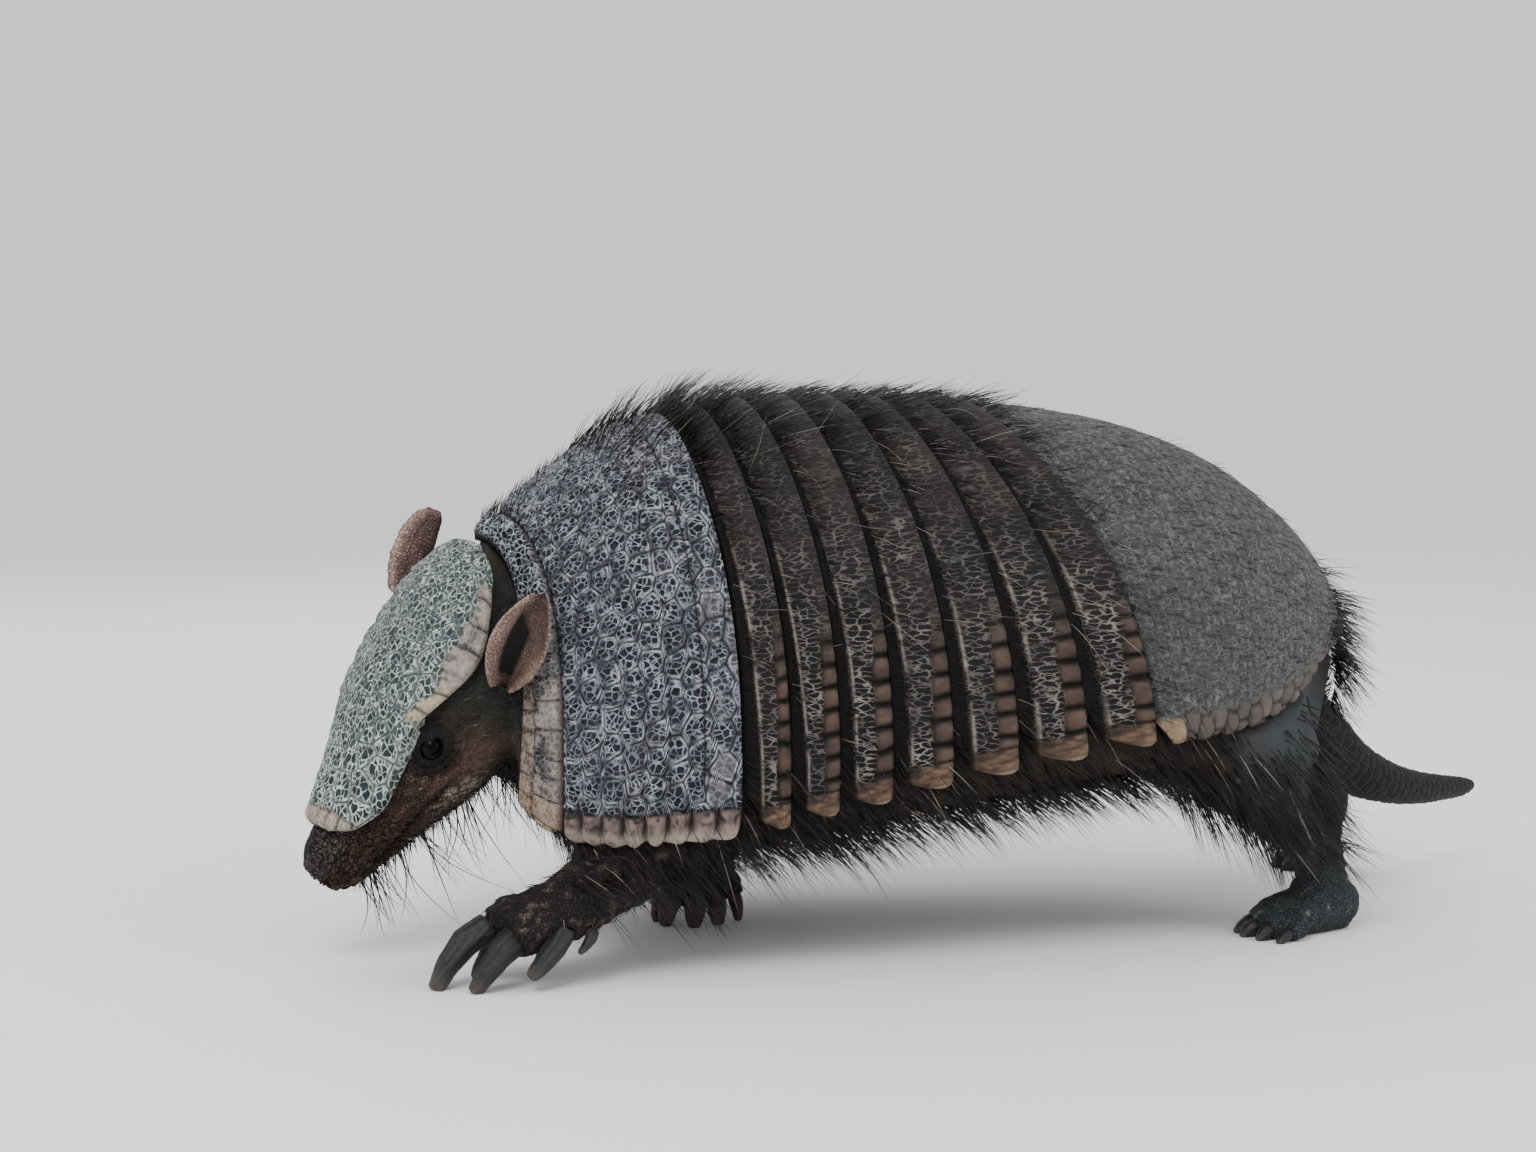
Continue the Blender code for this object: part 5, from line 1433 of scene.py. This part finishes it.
def hairTint(spots, share, chance, pale):
    # the hide's own markings, darkened towards the coat's near-black, a few hairs whitish
    base = layered(coatSet["black"], (skinTint(spots), np.full(len(spots), share)))
    base = base * chance.uniform(0.65, 1.35, (len(spots), 1))
    return np.where(chance.random((len(spots), 1)) < pale, coatSet["pale"] * 0.8, base)


def skinHair(points, faces):
    # the skin's hair, group by group: where it grows, which way it lies, how long it is
    chance = np.random.default_rng(300)
    a, b, c = points[faces.T]
    face = np.cross(b - a, c - a)
    middles, normal = Spots((a + b + c) / 3), unit(face)

    def sow(density, count):
        # spots spread over the triangles in proportion to area times density
        total = np.cumsum(np.linalg.norm(face, axis=1) * np.maximum(density(middles, normal), 0))
        pick = np.searchsorted(total, chance.random(count) * total[-1])
        r = chance.random((count, 2))
        r = np.where(r.sum(axis=1, keepdims=True) > 1, 1 - r, r)
        spots = a[pick] + (b - a)[pick] * r[:, :1] + (c - a)[pick] * r[:, 1:]
        return spots, normal[pick], Spots(spots)

    def spread(low, high):
        return chance.uniform(low, high, len(spots))

    def scaled(direction, low, high):
        return np.array(direction) * chance.uniform(low, high, (len(spots), 1))

    # belly
    spots, normals, at = sow(lambda m, n: m.body * (1 - ease(m.z, 66, 88)) * ease(m.z, 28, 36)
                             * ((m.x > -150) & (m.x < 165)) * (0.55 + 0.9 * ease(np.abs(m.y), 25, 60)),
                             coatSet["belly"])
    lean = leaning(normals, xyz(0.75, np.sign(at.y) * 0.28, -0.8), spread(22, 48), 0.13, chance)
    length = spread(11, 21) * (0.75 + 0.5 * ease(np.abs(at.y), 20, 60))
    lean = gathered(spots, lean, length, 0.11, chance, 0.55)
    bend = scaled((0.1, 0, -0.32), 0.3, 1.3)
    tip = (spots + (lean + bend) * (length * mm)[:, None])[:, 2]
    length = np.where(tip < 6 * mm, length * 0.5, length)          # clear of the floor
    makeHair("bellyHair", spots - normals * 0.6 * mm, lean, length, spread(0.16, 0.3), bend,
             hairTint(spots, 0.25, chance, 0.015), 3)

    # legs, the trailing side with the longer hair
    spots, normals, at = sow(lambda m, n: m.body * (1 - ease(m.z, 58, 76)) * ease(m.z, 5, 12)
                             * (0.35 + 0.65 * ease(m.z, 12, 26)) * np.where(m.x > 60, 0.8, 1.25)
                             * ((m.z < 40) | (m.x < -70) | (m.x > 80)), coatSet["legs"])
    hind = at.x > 60
    trailing, upper = ease(normals[:, 0], 0.1, 0.7), ease(at.z, 24, 48)
    flow = np.where(((at.x < -60) & (at.y < 0))[:, None], (-0.45, -0.1, -0.8), (0.22, 0.0, -1.0))
    length = spread(2.2, 4.6) + spread(0, 1) * (5 * upper + 9 * trailing * upper)
    length = length * (0.55 + 0.45 * ease(at.z, 8, 22)) * np.where(hind, 0.7, 1.0)
    lift = 12 + 18 * chance.random(len(spots)) + 16 * trailing * upper
    lean = leaning(normals, flow + xyz(0.9 * trailing, 0, 0), lift, 0.12, chance)
    lean = gathered(spots, lean, length, 0.16, chance, 0.4)
    bend = scaled((0, 0, -0.22), 0.2, 1.2)
    tint = times(hairTint(spots, 0.5, chance, 0.01), np.where(hind, 0.975, 0.825))
    makeHair("legHair", spots - normals * 0.5 * mm, lean, length, spread(0.13, 0.24), bend, tint, 3)

    # fringe behind the fore legs and under the hips
    spots, normals, at = sow(lambda m, n: m.body * (1 - ease(m.z, 62, 80)) * (
        ((m.x > -152) & (m.x < -70)) * ease(m.z, 26, 36) + 0.7 * (m.x > 84) * ease(m.z, 44, 56))
        * (0.2 + ease(-n[:, 2], -0.3, 0.5) + 0.8 * ease(n[:, 0], 0.0, 0.7)), coatSet["fringe"])
    lean = leaning(normals, xyz(0.45, 0.1 * np.sign(at.y), -1.0), spread(15, 40), 0.14, chance)
    length = spread(9, 24) * (0.6 + 0.4 * ease(at.z, 34, 56))
    lean = gathered(spots, lean, length, 0.12, chance, 0.5)
    bend = scaled((0.08, 0, -0.35), 0.4, 1.4)
    makeHair("fringeHair", spots - normals * 0.6 * mm, lean, length, spread(0.13, 0.25), bend,
             hairTint(spots, 0.15, chance, 0.02), 4)

    # face, a quarter of the hairs light
    spots, normals, at = sow(lambda m, n: m.head * ease(m.turn, 48, 60) * (1 - 0.75 * ease(m.along, 96, 114))
                             * ease(m.eye, 6.4, 8.5) * ease(m.along, -2, 10), coatSet["face"])
    length = spread(2.0, 4.2) + 2.6 * ease(at.turn, 100, 150) * chance.random(len(spots))
    length = (length + 1.5 * (1 - ease(at.along, 20, 60))) * (1 - 0.45 * ease(at.along, 84, 110))
    lift = 10 + 14 * chance.random(len(spots)) + 14 * ease(at.turn, 120, 160)
    lean = leaning(normals, np.broadcast_to(-forward * 0.85 - upward * 0.45, spots.shape), lift, 0.13, chance)
    lean = gathered(spots, lean, length, 0.2, chance, 0.3)
    tint = hairTint(spots, 0.7, chance, 0.012)
    tint = np.where(chance.random((len(spots), 1)) < 0.25, tint * 2.2 + coatSet["warm"], tint * 0.8)
    makeHair("faceHair", spots - normals * 0.35 * mm, lean, length, spread(0.11, 0.19),
             np.array((0, 0, -0.1)) - normals * 0.12, tint, 3)

    # neck
    spots, normals, at = sow(lambda m, n: m.body * ease(m.z, 34, 44) * (1 - ease(m.z, 112, 126))
                             * (1 - ease(m.x, -152, -142)), coatSet["neck"])
    flow = np.broadcast_to((0.35, 0, -0.95), spots.shape)
    lean = leaning(normals, flow, 14 + 12 * chance.random(len(spots)), 0.12, chance)
    length = spread(2.5, 5.5) * (1 + 0.9 * (1 - ease(at.z, 52, 66)))
    makeHair("neckHair", spots - normals * 0.5 * mm, lean, length, spread(0.1, 0.18), (0, 0, -0.15),
             hairTint(spots, 0.5, chance, 0.01), 3)

    # throat: a few long coarse hairs, and short ones between
    spots, normals, at = sow(lambda m, n: m.head * ease(m.turn, 128, 150) * (0.25 + ease(m.along, 10, 40))
                             * (1 - ease(m.along, 118, 124)), coatSet["throat"] + coatSet["chin"])
    long = np.arange(len(spots)) < coatSet["throat"]
    lean = unit((0.18, 0.0, -1.0) + chance.normal(0, 0.22, spots.shape) * (1, 0.6, 0.4) + normals * 0.25)
    length = np.where(long, spread(16, 40), spread(3, 7))
    length = np.minimum(length, (spots[:, 2] / mm - 3) / 1.15)     # clear of the floor
    bend = chance.normal(0, 0.28, spots.shape) * (1, 0.5, 0.3) + (0.1, 0, 0)
    bend = np.where(long[:, None], bend, bend * 0.4)
    for name, mine, width, share, pale, rings in (("throatHair", long, (0.28, 0.38), 0.1, 0.03, 8),
                                                  ("chinHair", ~long, (0.18, 0.26), 0.2, 0.01, 4)):
        makeHair(name, (spots - normals * 0.5 * mm)[mine], lean[mine], length[mine], spread(*width)[mine],
                 bend[mine], hairTint(spots[mine], share, chance, pale) * 0.6, rings)


def shellHair():
    # hair that grows out between and under the plates, placed by the shell's own sections and turns
    chance = np.random.default_rng(330)
    count = 0

    def spread(low, high):
        return chance.uniform(low, high, count)

    def scaled(direction, low, high):
        return np.array(direction) * chance.uniform(low, high, (count, 1))

    def blacks(pale, brown=0.3):
        tint = layered(coatSet["black"], (coatSet["brown"], chance.random(count) * brown))
        tint = tint * chance.uniform(0.6, 1.3, (count, 1))
        light = chance.random((count, 1)) < pale
        return np.where(light, coatSet["pale"] * chance.uniform(0.5, 1, (count, 1)), tint)

    def grow(name, place, turn, sink, lift, length, width, bend, tint, rings, jitter=0.1, aside=0, tuft=0):
        along = arch(place + 0.02, turn) - arch(place - 0.02, turn)
        normals = unit(np.cross(along, arch(place, turn + 0.01) - arch(place, turn - 0.01)))
        middle = arch(place, np.zeros_like(turn)) * (1, 0, 0.6)
        normals = times(normals, np.sign(np.einsum("ij,ij->i", normals, arch(place, turn) - middle)))
        spots = arch(place, turn, sink)
        flow = unit(along) + xyz(0, np.sign(turn) * aside, -aside * np.abs(np.sin(turn)))
        lean = leaning(normals, flow, lift, jitter, chance)
        if tuft:
            lean = gathered(spots, lean, length, tuft, chance, 0.45)
        makeHair(name, spots, lean, length, width, bend, tint, rings)

    # bristles of the back, from the rear of each shield row and band
    count = coatSet["back"]
    place = spread(1.9, 10.6)
    place = np.where(place > 3, np.floor(place) + spread(0.0, 0.22), place)
    turn = chance.normal(0, 0.34, count)
    front = hump(place, 3.2, 1.3)
    length = spread(9, 19) + 9 * front * chance.random(count)
    lift = spread(12, 34) + 16 * front
    bend = scaled((0.15, 0, -0.10), 0.2, 1.6)
    grow("backBristles", place, turn, 0.2, lift, length, spread(0.13, 0.24), bend, blacks(0.01), 4, 0.12,
         tuft=0.22)
    # short hair of the shoulders' front and the crown
    count = coatSet["shoulders"]
    place, turn = spread(0.3, 2.2), chance.normal(0, 0.55, count)
    grow("shoulderBristles", place, turn, 0.2, spread(18, 42), spread(3, 8), spread(0.10, 0.19), (0.1, 0, 0),
         blacks(0.03), 3)
    # hair out of the folds between the bands, lying back over the plates
    count = coatSet["bands"]
    band = chance.integers(3, 11, count)
    turn = np.where(chance.random(count) < 0.55, spread(-1.52, 1.52), chance.normal(0, 0.5, count))
    place = band + spread(0.0, 0.2)
    length = spread(5, 13) + 5 * ease(np.abs(turn), 0.7, 1.4) * chance.random(count)
    grow("bandHair", place, turn, -0.4, spread(5, 18), length, spread(0.09, 0.17), (0, 0, -0.12),
         blacks(0.05, 0.8), 3, 0.12, aside=0.35)
    # sparse hair of the hip shield
    count = coatSet["hip"]
    place, turn = spread(10.2, 16.2), spread(-1.4, 1.4)
    grow("hipHair", place, turn, -0.1, spread(8, 30), spread(3, 8), spread(0.09, 0.16), (0, 0, -0.1),
         blacks(0.04), 3, 0.15)
    # the fan at the rump
    count = coatSet["rump"]
    place, turn, length = spread(14.6, 17.6), spread(-1.25, 1.25), spread(8, 22)
    grow("rumpHair", place, turn, -2.5, spread(25, 62), length, spread(0.15, 0.26),
         scaled((0.1, 0, -0.25), 0.2, 1.5), blacks(0.02), 4, 0.2, tuft=0.2)
    # long hair under the lower edges of shields and bands
    count = coatSet["edges"]
    place = spread(1.1, 12.5)
    turn = np.sign(chance.random(count) - 0.5) * spread(1.40, 1.56)
    grow("edgeHair", place, turn, -4.5, spread(4, 22), spread(8, 17), spread(0.13, 0.24),
         scaled((0.05, 0, -0.45), 0.4, 1.3), blacks(0.02), 4, 0.16, aside=1.1, tuft=0.14)
    # a few long pale hairs over the bands
    count = coatSet["long"]
    place, turn = spread(3, 11), spread(-1.4, 1.4)
    grow("longHair", place, turn, -0.3, spread(8, 30), spread(18, 34), spread(0.08, 0.13),
         chance.normal(0, 0.2, (count, 3)), blacks(0.75), 8, 0.5, aside=0.8)


makeCamera()
makeLights()
makeFloor()
makeShoulder()
makeNeckBand()
for bandIndex in range(bandSet["count"]):
    makeBand(bandIndex)
makeHip()
makeBrow()
skinPoints, skinFaces = makeSkin()
makeEyes()
for earName in sides:
    makeEar(earName)
makeTail()
for legName in legNames:
    makeClaws(legName)
skinHair(skinPoints, skinFaces)
shellHair()
pieces = [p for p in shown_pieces() if p.type == "MESH"]
print("coat", sum(triangles(p) for p in pieces if "OFBake" in p.data.uv_layers), "triangles; all",
      sum(triangles(p) for p in pieces))
